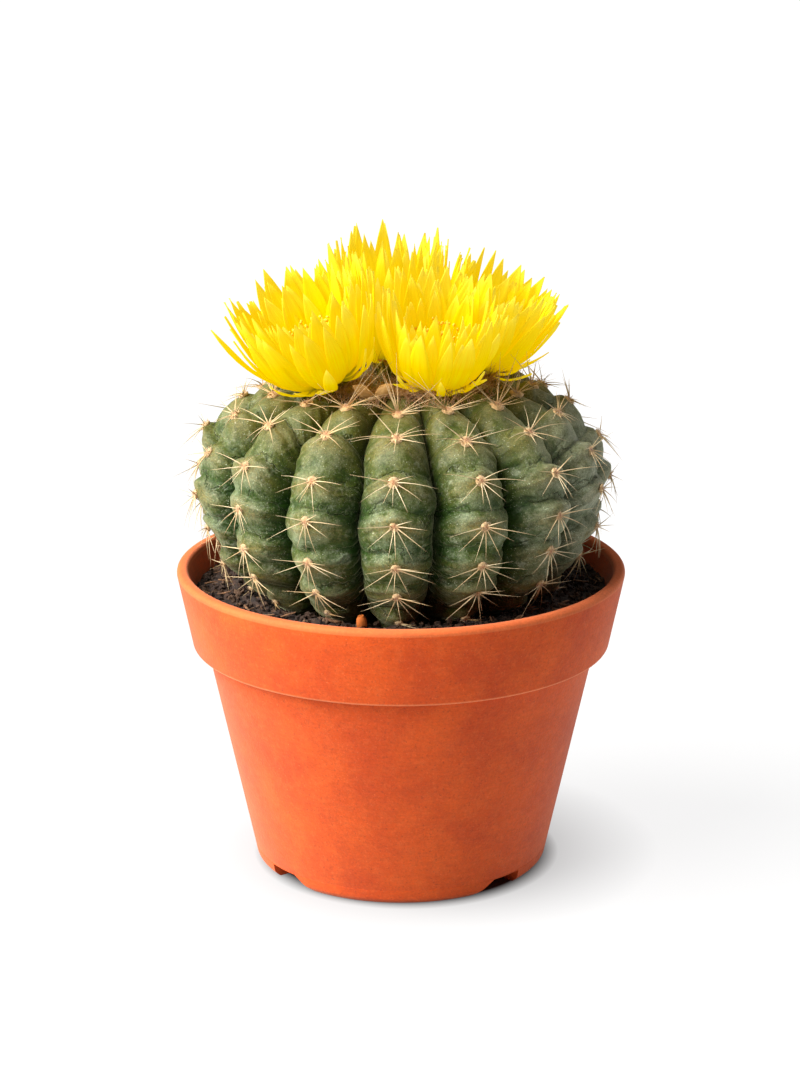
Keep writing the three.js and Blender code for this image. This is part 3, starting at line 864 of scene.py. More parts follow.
def make_stem():
    columns = RIBS * COLUMNS_PER_RIB
    bpy.ops.mesh.primitive_uv_sphere_add(segments=columns // 2, ring_count=STEM_ROWS // 2, radius=1)
    stem = named("cactus_body")
    with editing():
        bpy.ops.mesh.subdivide(number_cuts=1)
    ball = points_of(stem)
    elevation = np.degrees(np.arcsin(np.clip(ball[:, 2], -1, 1)))
    angle = np.interp(elevation, ELEVATIONS, CREST_ANGLES)
    turn = np.arctan2(ball[:, 1], ball[:, 0]) / (2 * np.pi) * RIBS
    rib = np.round(turn)
    across = 2 * (turn - rib)
    swell, relief, phase = stem_swell(angle, across, rib)
    places = stem_point(angle, rib, across, swell)
    outward = places - np.array([0, 0, STEM_LEVEL])
    outward /= np.linalg.norm(outward, axis=1)[:, None]
    lumps = np.array([noise.noise(Vector(place) * LUMP_SCALE) for place in places])
    wrinkles = np.array([noise.noise(Vector(place) * WRINKLE_SCALE) for place in places * WRINKLE_STRETCH])
    uneven = LUMP_HEIGHT * lumps + WRINKLE_HEIGHT * wrinkles
    share = rib_share(angle)
    drift = np.array([wander(place) for place in places])
    places += outward * (share * uneven)[:, None] + drift * share[:, None]
    root = elevation < ROOT_ELEVATION
    depth = (ROOT_ELEVATION - elevation[root]) / (ROOT_ELEVATION - ELEVATIONS[0])
    root_radius = np.interp(depth, ROOT_SHARES, [TAPROOT_RADIUS, TAPROOT_END, 0])
    neck = crest(np.array(float(NECK_ANGLE)))[1]
    root_level = np.interp(depth, ROOT_SHARES, [neck, TAPROOT_TIP + TAPROOT_END, TAPROOT_TIP])
    theta = rib_angle(rib[root]) + across[root] * np.pi / RIBS
    places[root] = np.stack([root_radius * np.cos(theta), root_radius * np.sin(theta), root_level], axis=-1)
    set_points(stem, places)
    way, _ = row_place(angle)
    from_areole = np.minimum(way, 1 - way) * 3.2
    toned(
        stem,
        relief=np.where(share > 0.2, relief, 0),
        flank=np.abs(across) * share,
        phase=phase,
        near_areole=np.exp(-((np.hypot(across * 1.5, from_areole) / 0.8) ** 2)),
        low=1 - smoothstep(places[:, 2], 0.042, 0.0535),
    )
    return finish_piece(stem, green_skin(), "stem", "stem")


# The soil.

SOIL_INNER = underside_radius(SOIL_AT_STEM) + POCKET_SIDE
SOIL_OUTER = collar_inside(SOIL_AT_WALL) - GAP


def soil_line(share):
    """Radius and level of the even surface, from the pot's wall (0) to the stem (1)."""
    radius = SOIL_OUTER + (SOIL_INNER - SOIL_OUTER) * share
    return radius, SOIL_AT_WALL + (SOIL_AT_STEM - SOIL_AT_WALL) * share


def soil_height(radius, theta):
    """Level of the lumpy surface. It stays level under the stem."""
    share = min(1, (radius - SOIL_OUTER) / (SOIL_INNER - SOIL_OUTER))
    lump = math.sin(5 * theta + 900 * radius) * math.cos(3 * theta - 1300 * radius)
    return soil_line(share)[1] + SOIL_LUMP * lump * (1 - share)


def make_soil_bed():
    profile = [
        (wall_inside(BASE_TOP) - GAP, BASE_TOP),
        (wall_inside(LEDGE) - GAP, LEDGE),
        (wall_inside(LEDGE) - GAP, LEDGE + GAP),
        (collar_inside(LEDGE) - GAP, LEDGE + GAP),
        *[soil_line(i / SOIL_RINGS) for i in range(SOIL_RINGS + 1)],
        *[(underside_radius(z) + POCKET_SIDE, z) for z in POCKET_LEVELS],
        (TAPROOT_RADIUS + POCKET_SIDE, float(crest(np.array(float(NECK_ANGLE)))[1]) - POCKET_SIDE),
        (TAPROOT_END + POCKET_SIDE, TAPROOT_TIP - GAP),
    ]
    near = 1e-5
    soil = turned("soil_bed", profile, SOIL_SIDES)
    places = points_of(soil)
    for place in places:
        radius = math.hypot(place[0], place[1])
        if place[2] < SOIL_AT_WALL - near or radius < SOIL_INNER - near:
            continue
        level = soil_height(radius, math.atan2(place[1], place[0]))
        place[2] = level + SOIL_ROUGH * noise.fractal(Vector(place) * SOIL_ROUGH_SCALE, 0.8, 2.0, 4)
    set_points(soil, places)
    return finish_piece(toned(soil, pale=0), dark_soil(), "soil", "soil")


CRUMB_SEED = 5
CRUMB_SHAPES = 6
CRUMBS = 2400
CRUMB_SIZES = (0.00014, 0.0006)
CRUMB_LUMP = 1.1
CRUMB_SHIFT = 7.3


def crumb_template(shift):
    bpy.ops.mesh.primitive_ico_sphere_add(subdivisions=2, radius=1)
    crumb = named("crumb")
    places = points_of(crumb)
    for place in places:
        place *= 1 + CRUMB_LUMP * noise.noise(Vector(place) * 2.2 + Vector((shift, 0, 0)))
    set_points(crumb, places)
    return crumb


def lay_crumbs(templates):
    rng = random.Random(CRUMB_SEED)
    shapes = [points_of(template) for template in templates]
    for _ in range(CRUMBS):
        size = CRUMB_SIZES[0] + (CRUMB_SIZES[1] - CRUMB_SIZES[0]) * rng.random() ** 2.2
        radius = rng.uniform(SOIL_INNER - CRUMB_SIZES[1], SOIL_OUTER - size)
        theta = rng.uniform(0, FULL_TURN)
        rise = soil_height(radius, theta) + size * rng.uniform(-0.2, 0.75)
        which = rng.randrange(len(templates))
        scale = size * np.array([rng.uniform(0.75, 1.2), rng.uniform(0.75, 1.2), rng.uniform(0.6, 1.0)])
        middle = ahead(theta) * radius + UP * rise
        crumb = copy_of(templates[which], turned_points(shapes[which], random_rotation(rng), middle, scale))
        yield toned(crumb, pale=rng.random() ** 3)


def make_crumbs():
    """Loose crumbs of soil between the pot's wall and the stem."""
    templates = [crumb_template(CRUMB_SHIFT * i) for i in range(CRUMB_SHAPES)]
    crumbs = joined("soil_crumbs", lay_crumbs(templates))
    discard(*templates)
    return finish_piece(crumbs, dark_soil(), "soil", "soil", smooth_angle=25)


CHIP_SEED = 12
CHIPS = 110
CHIP_LENGTHS = (0.0004, 0.0018)
CHIP_SLIMNESS = (0.05, 0.2)
CHIP_TIP = 0.18
CHIP_EDGE = 0.001
CHIP_RISE = 0.0006
CHIP_THICK = 0.0003
ORANGE_CHIP_AZIMUTH = -103
ORANGE_CHIP_SIZE = (0.0008, 0.0006)
ORANGE_CHIP_RISE = 0.0013


def lay_chips(sliver):
    rng = random.Random(CHIP_SEED)
    shape = points_of(sliver)
    shape = shape * (1 - CHIP_TIP * np.abs(shape[:, [0]]) ** 2)
    for i in range(CHIPS):
        orange = i == 0
        radius = rng.uniform(SOIL_INNER, SOIL_OUTER - CHIP_EDGE)
        theta = rng.uniform(0, FULL_TURN)
        length = rng.uniform(*CHIP_LENGTHS)
        width = length * rng.uniform(*CHIP_SLIMNESS)
        thick = min(width * 0.5, CHIP_THICK)
        rise = CHIP_RISE
        if orange:
            radius, theta = SOIL_INNER + CHIP_EDGE, math.radians(ORANGE_CHIP_AZIMUTH)
            length, width = ORANGE_CHIP_SIZE
            thick, rise = width, ORANGE_CHIP_RISE
        lie = Quaternion(UP, rng.uniform(0, FULL_TURN)) @ Quaternion((0, 1, 0), rng.uniform(-0.35, 0.35))
        bent = shape.copy()
        bent[:, 2] += rng.uniform(-2, 2) * bent[:, 0] ** 2
        middle = ahead(theta) * radius + UP * (soil_height(radius, theta) + rise)
        scale = np.array([length, width, thick])
        yield toned(copy_of(sliver, turned_points(bent, lie, middle, scale)), orange=float(orange))


def make_chips():
    """Slivers of bark and dry fibre that lie in the soil, with one orange chip in front."""
    bpy.ops.mesh.primitive_cube_add(size=2)
    sliver = named("sliver")
    with editing():
        bpy.ops.mesh.subdivide(number_cuts=2, smoothness=0.6)
    chips = joined("bark_chips", lay_chips(sliver))
    discard(sliver)
    return finish_piece(chips, bark_chips(), "soil", "soil", smooth_angle=50)


# The flowers.

def bloom_place(bloom):
    """The flower's foot on the crown, its axis, the turn from upright, and the top of its tube."""
    axis = Vector((*bloom["lean"], 1)).normalized()
    foot = Vector((*bloom["at"], crown_height(math.hypot(*bloom["at"]))))
    return foot, axis, UP.rotation_difference(axis), foot + TUBE_LENGTH * axis


# Petal layers from the outside in, as (count, width, turn, line). The first are sepals.
# A line is the way a petal takes, in shares of the flower's radius and height.
PETAL_LAYERS = (
    (6, 0.0018, 30, ((0.24, 0.03), (0.72, 0.0), (0.98, 0.2), (1.08, 0.55))),
    (18, 0.003, 0, ((0.22, 0.05), (0.76, 0.04), (1.04, 0.38), (1.12, 0.9))),
    (21, 0.0031, 10, ((0.2, 0.06), (0.7, 0.07), (0.99, 0.44), (1.05, 0.97))),
    (22, 0.003, 5, ((0.18, 0.08), (0.62, 0.09), (0.92, 0.46), (0.95, 1.0))),
    (20, 0.0028, 17, ((0.15, 0.1), (0.5, 0.12), (0.8, 0.47), (0.83, 0.96))),
    (15, 0.0026, 9, ((0.12, 0.12), (0.38, 0.16), (0.64, 0.44), (0.68, 0.83))),
)
SEPAL_LENGTHS = (0.62, 0.9)
# Petals that stand apart low down, as (flower, azimuth, width, line).
STRAY_PETALS = (
    (0, 184, 0.0023, ((0.24, 0.04), (0.84, 0.03), (1.15, 0.33), (1.34, 0.9))),
    (0, -20, 0.0018, ((0.22, 0.03), (0.6, -0.02), (0.8, 0.1), (0.84, 0.32))),
    (0, -128, 0.0017, ((0.22, 0.03), (0.42, 0.0), (0.56, 0.02), (0.7, 0.14))),
    (0, -104, 0.0021, ((0.22, 0.03), (0.4, -0.02), (0.52, 0.02), (0.62, 0.13))),
    (0, -84, 0.0016, ((0.22, 0.03), (0.4, 0.0), (0.5, 0.03), (0.56, 0.16))),
    (1, -152, 0.0019, ((0.22, 0.03), (0.5, 0.0), (0.7, 0.05), (0.86, 0.18))),
    (1, -12, 0.0018, ((0.22, 0.03), (0.5, 0.0), (0.75, 0.02), (0.96, 0.2))),
    (1, -58, 0.0017, ((0.22, 0.03), (0.45, -0.02), (0.62, 0.02), (0.72, 0.12))),
    (2, -40, 0.0017, ((0.22, 0.03), (0.6, 0.0), (0.95, 0.05), (1.15, 0.3))),
    (2, 12, 0.0016, ((0.22, 0.03), (0.7, 0.0), (1.0, 0.15), (1.22, 0.5))),
)
STRAY_WARMTH = 0.2
# How much petals differ: the ends of what is drawn for each of them.
PETAL_STEPS = (-0.34, 0.34)
PETAL_REACHES = (0.87, 1.02)
PETAL_WIDTHS = (0.7, 1.15)
PETAL_CUPS = (0.4, 1.5)
TIP_SHIFTS = (-0.1, 0.1)
BEND_SHIFTS = (-0.04, 0.04)
TIP_ROLLS = (-18, 18)
FOOT_ROLLS = (-8, 8)
PETAL_ACROSS = 6
PETAL_ALONG = 12
PETAL_THICK = 0.00011
PETAL_FOOT = 0.42
PETAL_WIDEST = 0.66
PETAL_CUP = 0.2
MIDRIB_DEPTH = 0.00009
MIDRIB_WIDTH = 0.16
EDGE_WAVE = 0.00012
PETAL_SWAY = 0.0015
BEND_START = 0.0003
BEND_GAP = 0.00005
BLOOM_SEED = 31
BLOOM_MIDDLE = 0.008


def petal_width(t):
    """Half width along a petal as a share of the widest."""
    rising = PETAL_FOOT + (1 - PETAL_FOOT) * np.sin(np.pi / 2 * np.minimum(1, t / PETAL_WIDEST))
    past = np.clip((t - PETAL_WIDEST) / (1 - PETAL_WIDEST), 0, 1)
    return np.maximum(0.03, rising * (1 - past**2.2))


def bezier(points, t):
    """Places and directions along a cubic curve in (radius, height)."""
    a, b, c, d = (np.array(point) for point in points)
    t = t[:, None]
    place = (1 - t) ** 3 * a + 3 * (1 - t) ** 2 * t * b + 3 * (1 - t) * t**2 * c + t**3 * d
    way = 3 * (1 - t) ** 2 * (b - a) + 6 * (1 - t) * t * (c - b) + 3 * t**2 * (d - c)
    return place, way


def parting_planes(bloom):
    """Planes halfway to each other flower, in this flower's own frame, as (point, normal)."""
    _, axis, turn, top = bloom_place(bloom)
    middle = top + BLOOM_MIDDLE * axis
    home = turn.inverted()
    planes = []
    for other in BLOOMS:
        if other is bloom:
            continue
        _, other_axis, _, other_top = bloom_place(other)
        away = other_top + BLOOM_MIDDLE * other_axis - middle
        point = middle + 0.5 * away - top
        planes.append((home @ point, home @ away.normalized()))
    return planes


def bend_clear(places, stations, planes):
    """Moves each cross section of a petal back from the planes that part the flowers."""
    room = BEND_START - BEND_GAP
    for point, normal in planes:
        past = (places - np.array(point)) @ np.array(normal)
        for members in stations:
            most = past[members].max()
            if most <= -BEND_START:
                continue
            wanted = -BEND_START + room * (1 - math.exp((-BEND_START - most) / room))
            places[members] += np.array(normal) * (wanted - most)
    return places


def petal_points(shape, width, line, bloom, azimuth, rng, planes, length):
    """Lays a flat blade of points (across, along) on the petal's line."""
    across = shape[:, 0] * 2
    t = shape[:, 1] + 0.5
    reach = rng.uniform(*PETAL_REACHES) * length
    line = [[r * bloom["radius"], z * bloom["height"]] for r, z in line]
    line[3][0] += bloom["radius"] * rng.uniform(*TIP_SHIFTS)
    line[2][0] += bloom["radius"] * rng.uniform(*BEND_SHIFTS)
    place, way = bezier(line, t * reach)
    way = way / np.linalg.norm(way, axis=1)[:, None]
    half = 0.5 * width * rng.uniform(*PETAL_WIDTHS) * petal_width(t)
    roll = math.radians(rng.uniform(*TIP_ROLLS)) * t + math.radians(rng.uniform(*FOOT_ROLLS))
    sideways = across * half
    cup = PETAL_CUP * rng.uniform(*PETAL_CUPS)
    inward = cup * across**2 * half - MIDRIB_DEPTH * np.exp(-((across / MIDRIB_WIDTH) ** 2)) * (1 - t)
    inward = inward + np.sin(roll) * sideways + EDGE_WAVE * np.sin(9 * t + rng.uniform(0, 6)) * across
    sway = rng.uniform(-PETAL_SWAY, PETAL_SWAY) * t**2
    y = sideways * np.cos(roll) + sway
    x = place[:, 0] - inward * way[:, 1]
    z = place[:, 1] + inward * way[:, 0]
    turn = math.radians(azimuth)
    turned_x = x * math.cos(turn) - y * math.sin(turn)
    turned_y = x * math.sin(turn) + y * math.cos(turn)
    points = np.stack([turned_x, turned_y, z], axis=-1)
    levels = np.round(t * PETAL_ALONG).astype(int)
    stations = [np.flatnonzero(levels == level) for level in range(PETAL_ALONG + 1)]
    return bend_clear(points, stations, planes)


def petal_places(bloom, index, rng):
    """Every petal of a flower: its width, line, number, azimuth and length, and how warm it may be, which
    reaches higher on inner layers as painted shade.
    """
    for depth, (count, width, turn, line) in enumerate(PETAL_LAYERS):
        for i in range(count):
            azimuth = 360 / count * (i + rng.uniform(*PETAL_STEPS)) + turn + bloom["turn"]
            length = rng.uniform(*SEPAL_LENGTHS) if depth == 0 else 1.0
            yield width, line, i, azimuth, length, 0.35 + 0.13 * depth
    for i, (flower, azimuth, width, line) in enumerate(STRAY_PETALS):
        if flower == index:
            yield width, line, i, azimuth, 1.0, None


def lay_petals(bloom, index, blade):
    rng = random.Random(BLOOM_SEED + index)
    _, _, turn, top = bloom_place(bloom)
    planes = parting_planes(bloom)
    shape = points_of(blade)
    for width, line, i, azimuth, length, warmth in petal_places(bloom, index, rng):
        points = petal_points(shape, width, line, bloom, azimuth, rng, planes, length)
        warm = STRAY_WARMTH if warmth is None else rng.random() * warmth
        petal = copy_of(blade, turned_points(points, turn, top))
        yield toned(petal, along=shape[:, 1] + 0.5, across=shape[:, 0] + 0.5 + i, warm=warm)


def make_petals(bloom, index, blade, finish):
    petals = joined(f"{bloom['name']}_petals", lay_petals(bloom, index, blade))
    apply_modifier(petals, "SOLIDIFY", thickness=PETAL_THICK, offset=0)
    return finish_piece(petals, finish, "petal", bloom["name"])


STAMENS = 70
STAMEN_SPREAD = 0.0034
STAMEN_RADIUS = 0.00011
STAMEN_ROOT = 0.002
STAMEN_LENGTHS = (0.0042, 0.0062)
STIGMA_LOBES = 9
STIGMA_EXTRA = 1.15
ANTHER_SIZE = np.array([0.00022, 0.00022, 0.00034])
HEART = ((0.0006, 0.0002), (0.0024, 0.0004), (0.0036, 0.0016), (0.0034, 0.0032), (0.0020, 0.0040))
HEART_SIDES = 32


def make_stamens(bloom, index, finish):
    """The heart of a flower: a cup, stamens with their anthers, and the lobes of the stigma."""
    _, _, turn, top = bloom_place(bloom)
    rng = random.Random(BLOOM_SEED * 3 + index)
    needle = needle_template(4, 3)
    shape = points_of(needle)
    bpy.ops.mesh.primitive_ico_sphere_add(subdivisions=1, radius=1)
    anther = named("anther")
    pollen = points_of(anther)
    cup = turned("heart", HEART, HEART_SIDES)
    set_points(cup, turned_points(points_of(cup), turn, top))
    parts = [toned(cup, along=0.15)]
    for i in range(STAMENS):
        spread = STAMEN_SPREAD * math.sqrt((i + 0.5) / STAMENS)
        length = rng.uniform(*STAMEN_LENGTHS) * (STIGMA_EXTRA if i < STIGMA_LOBES else 1)
        lean = 0.2 + 0.25 * spread / STAMEN_SPREAD
        outward = ahead(i * GOLDEN_ANGLE)
        root = UP * STAMEN_ROOT + 0.8 * spread * outward
        bend = rng.uniform(-0.15, 0.05)
        points = needle_points(shape, root, UP + lean * outward, outward, length, STAMEN_RADIUS, bend)
        parts.append(toned(copy_of(needle, turned_points(points, turn, top)), along=shape[:, 2] * 0.8))
        size = ANTHER_SIZE * rng.uniform(0.8, 1.25)
        knob = turned_points(pollen, random_rotation(rng), points[np.argmax(shape[:, 2])], size)
        parts.append(toned(copy_of(anther, turned_points(knob, turn, top)), along=1.0))
    discard(needle, anther)
    heart = joined(f"{bloom['name']}_heart", parts)
    return finish_piece(heart, finish, "petal", bloom["name"])


TUBE_SEED = 8
TUBE_SIDES = 40
TUBE_RINGS = 7
TUBE_RISE = 0.0006
TUBE_SCALES = 34
SCALE_LENGTHS = (0.0012, 0.002)
SCALE_RADIUS = 0.00032
SCALE_BEND = 0.1
SCALE_FLAT = np.array([0.4, 1, 1])


def tube_radius(share):
    return TUBE_RADIUS * (0.8 + 0.35 * share**2)


def lay_tubes(scale):
    rng = random.Random(TUBE_SEED)
    shape = points_of(scale)
    reach = TUBE_SINK + TUBE_LENGTH
    full = reach + TUBE_RISE
    profile = [(tube_radius(share), -TUBE_SINK + share * full) for share in np.linspace(0, 1, TUBE_RINGS)]
    for bloom in BLOOMS:
        foot, _, turn, _ = bloom_place(bloom)
        tube = turned("tube", profile, TUBE_SIDES)
        places = points_of(tube)
        set_points(tube, turned_points(places, turn, foot))
        yield toned(tube, along=(places[:, 2] + TUBE_SINK) / full)
        for i in range(TUBE_SCALES):
            share = 0.45 + 0.55 * (i + 0.5) / TUBE_SCALES
            outward = ahead(i * GOLDEN_ANGLE)
            root = outward * tube_radius(share) * 0.97 + UP * (share * reach - TUBE_SINK)
            way = outward * 0.45 + UP
            length = rng.uniform(*SCALE_LENGTHS)
            points = needle_points(shape * SCALE_FLAT, root, way, outward, length, SCALE_RADIUS, SCALE_BEND)
            yield toned(copy_of(scale, turned_points(points, turn, foot)), along=0.3 + 0.7 * shape[:, 2])


def make_tubes(finish):
    """The short green tubes that the flowers stand on, with their little scales."""
    scale = needle_template(5, 3)
    tubes = joined("flower_tubes", lay_tubes(scale))
    discard(scale)
    return finish_piece(tubes, finish, "stem", "stem")


# Areoles, spines and wool.

def areole_sites():
    """Every areole: its middle, which way is out, down the rib and across it, and its row."""
    sites = []
    for rib in range(RIBS):
        for row, angle in enumerate(AREOLE_ANGLES):
            here = np.array([float(angle)])
            swell, _, _ = stem_swell(here, np.zeros(1), rib)
            middle = Vector(stem_point(here, rib, np.zeros(1), swell)[0])
            middle += wander(middle) * float(rib_share(here)[0])
            out_radial, out_up = (float(part[0]) for part in crest_normal(here + stagger(rib)))
            radial = ahead(float(rib_angle(rib)))
            out = radial * out_radial + UP * out_up
            down = radial * out_up - UP * out_radial
            sites.append({"middle": middle, "out": out, "down": down, "side": out.cross(down), "row": row})
    return sites


FELT_SEED = 21
FELT_SIZES = (0.00092, 0.0009, 0.0008, 0.00072, 0.00068, 0.00064, 0.0006, 0.00058)
FELT_SHAPE = np.array([1, 1.08, 0.5])
# Hairs on a cushion, the longest of them as a share of it, and the same for the top row under the flowers.
FELT_HAIRS = 44
FELT_HAIR_LENGTH = 0.85
TOP_FELT_HAIRS = 132
TOP_FELT_HAIR_LENGTH = 1.2
FELT_HAIR_RADIUS = 0.00004


def lay_felt(sites, cushion, needle):
    rng = random.Random(FELT_SEED)
    dome = points_of(cushion)
    shape = points_of(needle)
    for site in sites:
        middle, out, down, side = (site[key] for key in ("middle", "out", "down", "side"))
        size = FELT_SIZES[site["row"]] * rng.uniform(0.9, 1.12)
        gold = max(0.0, 0.75 - 0.3 * site["row"])
        uneven = 1 + 0.16 * np.array([noise.noise(Vector(place) * 2 + middle * 900) for place in dome])
        scaled = dome * uneven[:, None] * FELT_SHAPE * size
        pad = copy_of(cushion, scaled @ np.array([side, down, out]) + np.array(middle))
        yield toned(pad, along=np.clip(np.hypot(dome[:, 0], dome[:, 1]), 0, 1), gold=gold)
        top = site["row"] == 0
        hairs = TOP_FELT_HAIRS if top else FELT_HAIRS
        longest = TOP_FELT_HAIR_LENGTH if top else FELT_HAIR_LENGTH
        for i in range(hairs):
            azimuth = i * GOLDEN_ANGLE
            share = math.sqrt((i + 0.5) / hairs)
            around = math.cos(azimuth) * side + math.sin(azimuth) * down
            root = middle + around * size * 0.92 * share + out * size * (0.45 * (1 - share))
            way = around * (0.2 + share) + out * 0.8 + side * rng.uniform(-0.6, 0.6)
            length = size * rng.uniform(0.4, longest)
            points = needle_points(shape, root, way, out, length, FELT_HAIR_RADIUS, rng.uniform(-0.8, 0.5))
            yield toned(copy_of(needle, points), along=0.45 + 0.55 * share, gold=gold)


def make_felt(sites, finish):
    """The woolly cushion of each areole, with short hairs on it."""
    bpy.ops.mesh.primitive_uv_sphere_add(segments=16, ring_count=8, radius=1)
    cushion = named("cushion")
    needle = needle_template(3, 3)
    felt = joined("areole_felt", lay_felt(sites, cushion, needle))
    discard(cushion, needle)
    return finish_piece(felt, finish, "wool", "stem")


# Spines of an areole as (degrees from straight down, length, degrees of lift).
CROWN_FAN = (
    (-58, 0.0042, 22), (-88, 0.0056, 25), (-112, 0.0064, 30), (-138, 0.0072, 36), (-163, 0.0066, 40),
    (176, 0.0074, 46), (152, 0.0068, 40), (128, 0.0074, 34), (104, 0.0062, 28), (80, 0.0056, 24),
    (52, 0.0040, 20),
)
UPPER_FAN = (
    (-30, 0.0030, 18), (-76, 0.0052, 18), (-95, 0.0056, 20), (-124, 0.0044, 26), (3, 0.0030, 24),
    (178, 0.0030, 42), (128, 0.0042, 26), (112, 0.0048, 22), (90, 0.0058, 18), (58, 0.0044, 14),
)
SIDE_FAN = (
    (-99, 0.0048, 20), (-64, 0.0050, 16), (-19, 0.0040, 20), (3, 0.0038, 26), (29, 0.0044, 20),
    (64, 0.0046, 16), (93, 0.0056, 20), (121, 0.0032, 28),
)
LOW_FAN = (
    (-66, 0.0050, 15), (-30, 0.0036, 18), (-4, 0.0036, 24), (26, 0.0044, 18), (72, 0.0054, 16),
    (112, 0.0028, 24),
)
# The spines of each row from the crown down. The dense rows have several rounds of them.
FANS = (CROWN_FAN * 3, CROWN_FAN * 2, UPPER_FAN, SIDE_FAN, SIDE_FAN, SIDE_FAN, SIDE_FAN, LOW_FAN * 2)
SPINE_SEED = 7
SPINE_SINK = 0.0001
SPINE_CLEAR = 0.0004
# Radius of a spine and the span of its bend, on the crown's rows and below them.
CROWN_ROWS = 2
CROWN_SPINE = (0.000085, (-0.3, 0.2))
SPINE = (0.0001, (-0.3, 0.04))


def lay_spines(sites, obstacles, needle):
    rng = random.Random(SPINE_SEED)
    shape = points_of(needle)
    shape[:, :2] *= (1 - 0.45 * shape[:, [2]] ** 2)
    for site in sites:
        row, out, down = site["row"], site["out"], site["down"]
        crowned = row < CROWN_ROWS
        thickness, bends = CROWN_SPINE if crowned else SPINE
        hook = out if crowned else (out - down * 0.7).normalized()
        root = site["middle"] + out * SPINE_SINK
        for fan, length, lift in FANS[row]:
            turn = math.radians(fan + rng.uniform(-9, 9))
            length = length * rng.uniform(0.85, 1.28)
            lift = math.radians(lift + rng.uniform(-6, 9))
            bend = rng.uniform(*bends)
            gold = rng.uniform(0, 0.5) + max(0.0, 0.6 - 0.25 * row, 0.2 * row - 1.1)
            radius = thickness * rng.uniform(0.8, 1.12)
            along = math.cos(turn) * down + math.sin(turn) * site["side"]
            way = (math.cos(lift) * along + math.sin(lift) * out).normalized()
            if any(tree.ray_cast(root + way * SPINE_CLEAR, way, length)[0] for tree in obstacles):
                continue
            points = needle_points(shape, root, way, hook, length, radius, bend)
            yield toned(copy_of(needle, points), along=shape[:, 2], gold=min(1.0, gold))


def make_spines(sites, obstacles, finish):
    """Spines that fan out from each areole. One that would run into a petal or the soil is left off."""
    needle = needle_template(5, 4)
    spines = joined("spines", lay_spines(sites, obstacles, needle))
    discard(needle)
    return finish_piece(spines, finish, "wool", "stem")


CROWN_SEED = 17
CROWN_HAIRS = 1800
CROWN_HAIR_RADIUS = 0.00006
CROWN_HAIR_LENGTHS = (0.001, 0.0034)
CROWN_WOOL_RADIUS = 0.0156
CROWN_WOOL_SINK = 0.0003


def lay_crown_wool(needle):
    rng = random.Random(CROWN_SEED)
    shape = points_of(needle)
    feet = [Vector((*bloom["at"], 0)) for bloom in BLOOMS]
    made = 0
    while made < CROWN_HAIRS:
        radius = CROWN_WOOL_RADIUS * math.sqrt(rng.random())
        at = ahead(rng.uniform(0, FULL_TURN)) * radius
        if any((at - foot).length < TUBE_RADIUS * 1.02 for foot in feet):
            continue
        root = at + UP * (crown_height(radius) - CROWN_WOOL_SINK)
        way = Vector((rng.uniform(-1, 1), rng.uniform(-1, 1), rng.uniform(0.5, 1.6)))
        side = Vector((rng.uniform(-1, 1), rng.uniform(-1, 1), -0.4))
        length = rng.uniform(*CROWN_HAIR_LENGTHS)
        points = needle_points(shape, root, way, side, length, CROWN_HAIR_RADIUS, rng.uniform(0.1, 0.6))
        made += 1
        yield toned(copy_of(needle, points), along=rng.uniform(0.0, 0.5), gold=rng.uniform(0.6, 1.2))


def make_crown_wool(finish):
    """Brown and golden wool in the middle of the crown, between the flowers' feet."""
    needle = needle_template(3, 3)
    wool = joined("crown_wool", lay_crown_wool(needle))
    discard(needle)
    return finish_piece(wool, finish, "wool")


# Outline of a bud as (radius, height), how flat it is, and how far up its hairs reach.
BUD_LINE = (
    (0.0, 0.0), (0.00036, 0.00025), (0.00072, 0.0009), (0.0009, 0.0016), (0.0007, 0.0023), (0.00034, 0.0028),
    (0.00004, 0.00315),
)
BUD_FOOT = 0.00006
BUD_FLAT = np.array([1.0, 0.5, 1])
BUD_SIDES = 24
BUD_SEAT = 0.0007
BUD_SEED = 3
BUD_HAIRS = 40
BUD_HAIR_REACH = 0.003
BUD_HAIR_RADIUS = 0.000035
BUD_HAIR_LENGTHS = (0.00014, 0.0003)


def lay_bud(name, at, turn, needle):
    rng = random.Random(BUD_SEED)
    core = turned(name, [(max(BUD_FOOT, radius), z) for radius, z in BUD_LINE], BUD_SIDES)
    apply_modifier(core, "SUBSURF", levels=1, render_levels=1)
    set_points(core, turned_points(points_of(core) * BUD_FLAT, turn, at))
    yield toned(core, along=0.8, gold=0.7)
    shape = points_of(needle)
    for _ in range(BUD_HAIRS):
        rise = rng.random() * BUD_HAIR_REACH
        around = ahead(rng.uniform(0, FULL_TURN))
        ring = float(np.interp(rise, [z for _, z in BUD_LINE], [radius for radius, _ in BUD_LINE]))
        root = Vector((around.x * ring, around.y * ring * 0.6, rise)) * 0.97
        way = around * 0.7 + UP * 0.6
        length = rng.uniform(*BUD_HAIR_LENGTHS)
        points = needle_points(shape, root, way, around, length, BUD_HAIR_RADIUS, rng.uniform(-0.4, 0.4))
        yield toned(copy_of(needle, turned_points(points, turn, at)), along=0.9, gold=rng.uniform(0.3, 0.8))


def make_bud(bud, finish):
    """A woolly flower bud: a pointed, slightly flattened ball with a coat of short hairs."""
    name = f"{bud['name']}_wool"
    at = Vector((*bud["at"], crown_height(math.hypot(*bud["at"])) + BUD_SEAT))
    turn = UP.rotation_difference(Vector((*bud["lean"], 1)).normalized())
    needle = needle_template(3, 2)
    coat = joined(name, lay_bud(name, at, turn, needle))
    discard(needle)
    return finish_piece(coat, finish, "wool", bud["name"])


# Floor, camera and light.

FLOOR_SIZE = 6
ROOM_LIGHT = 0.05
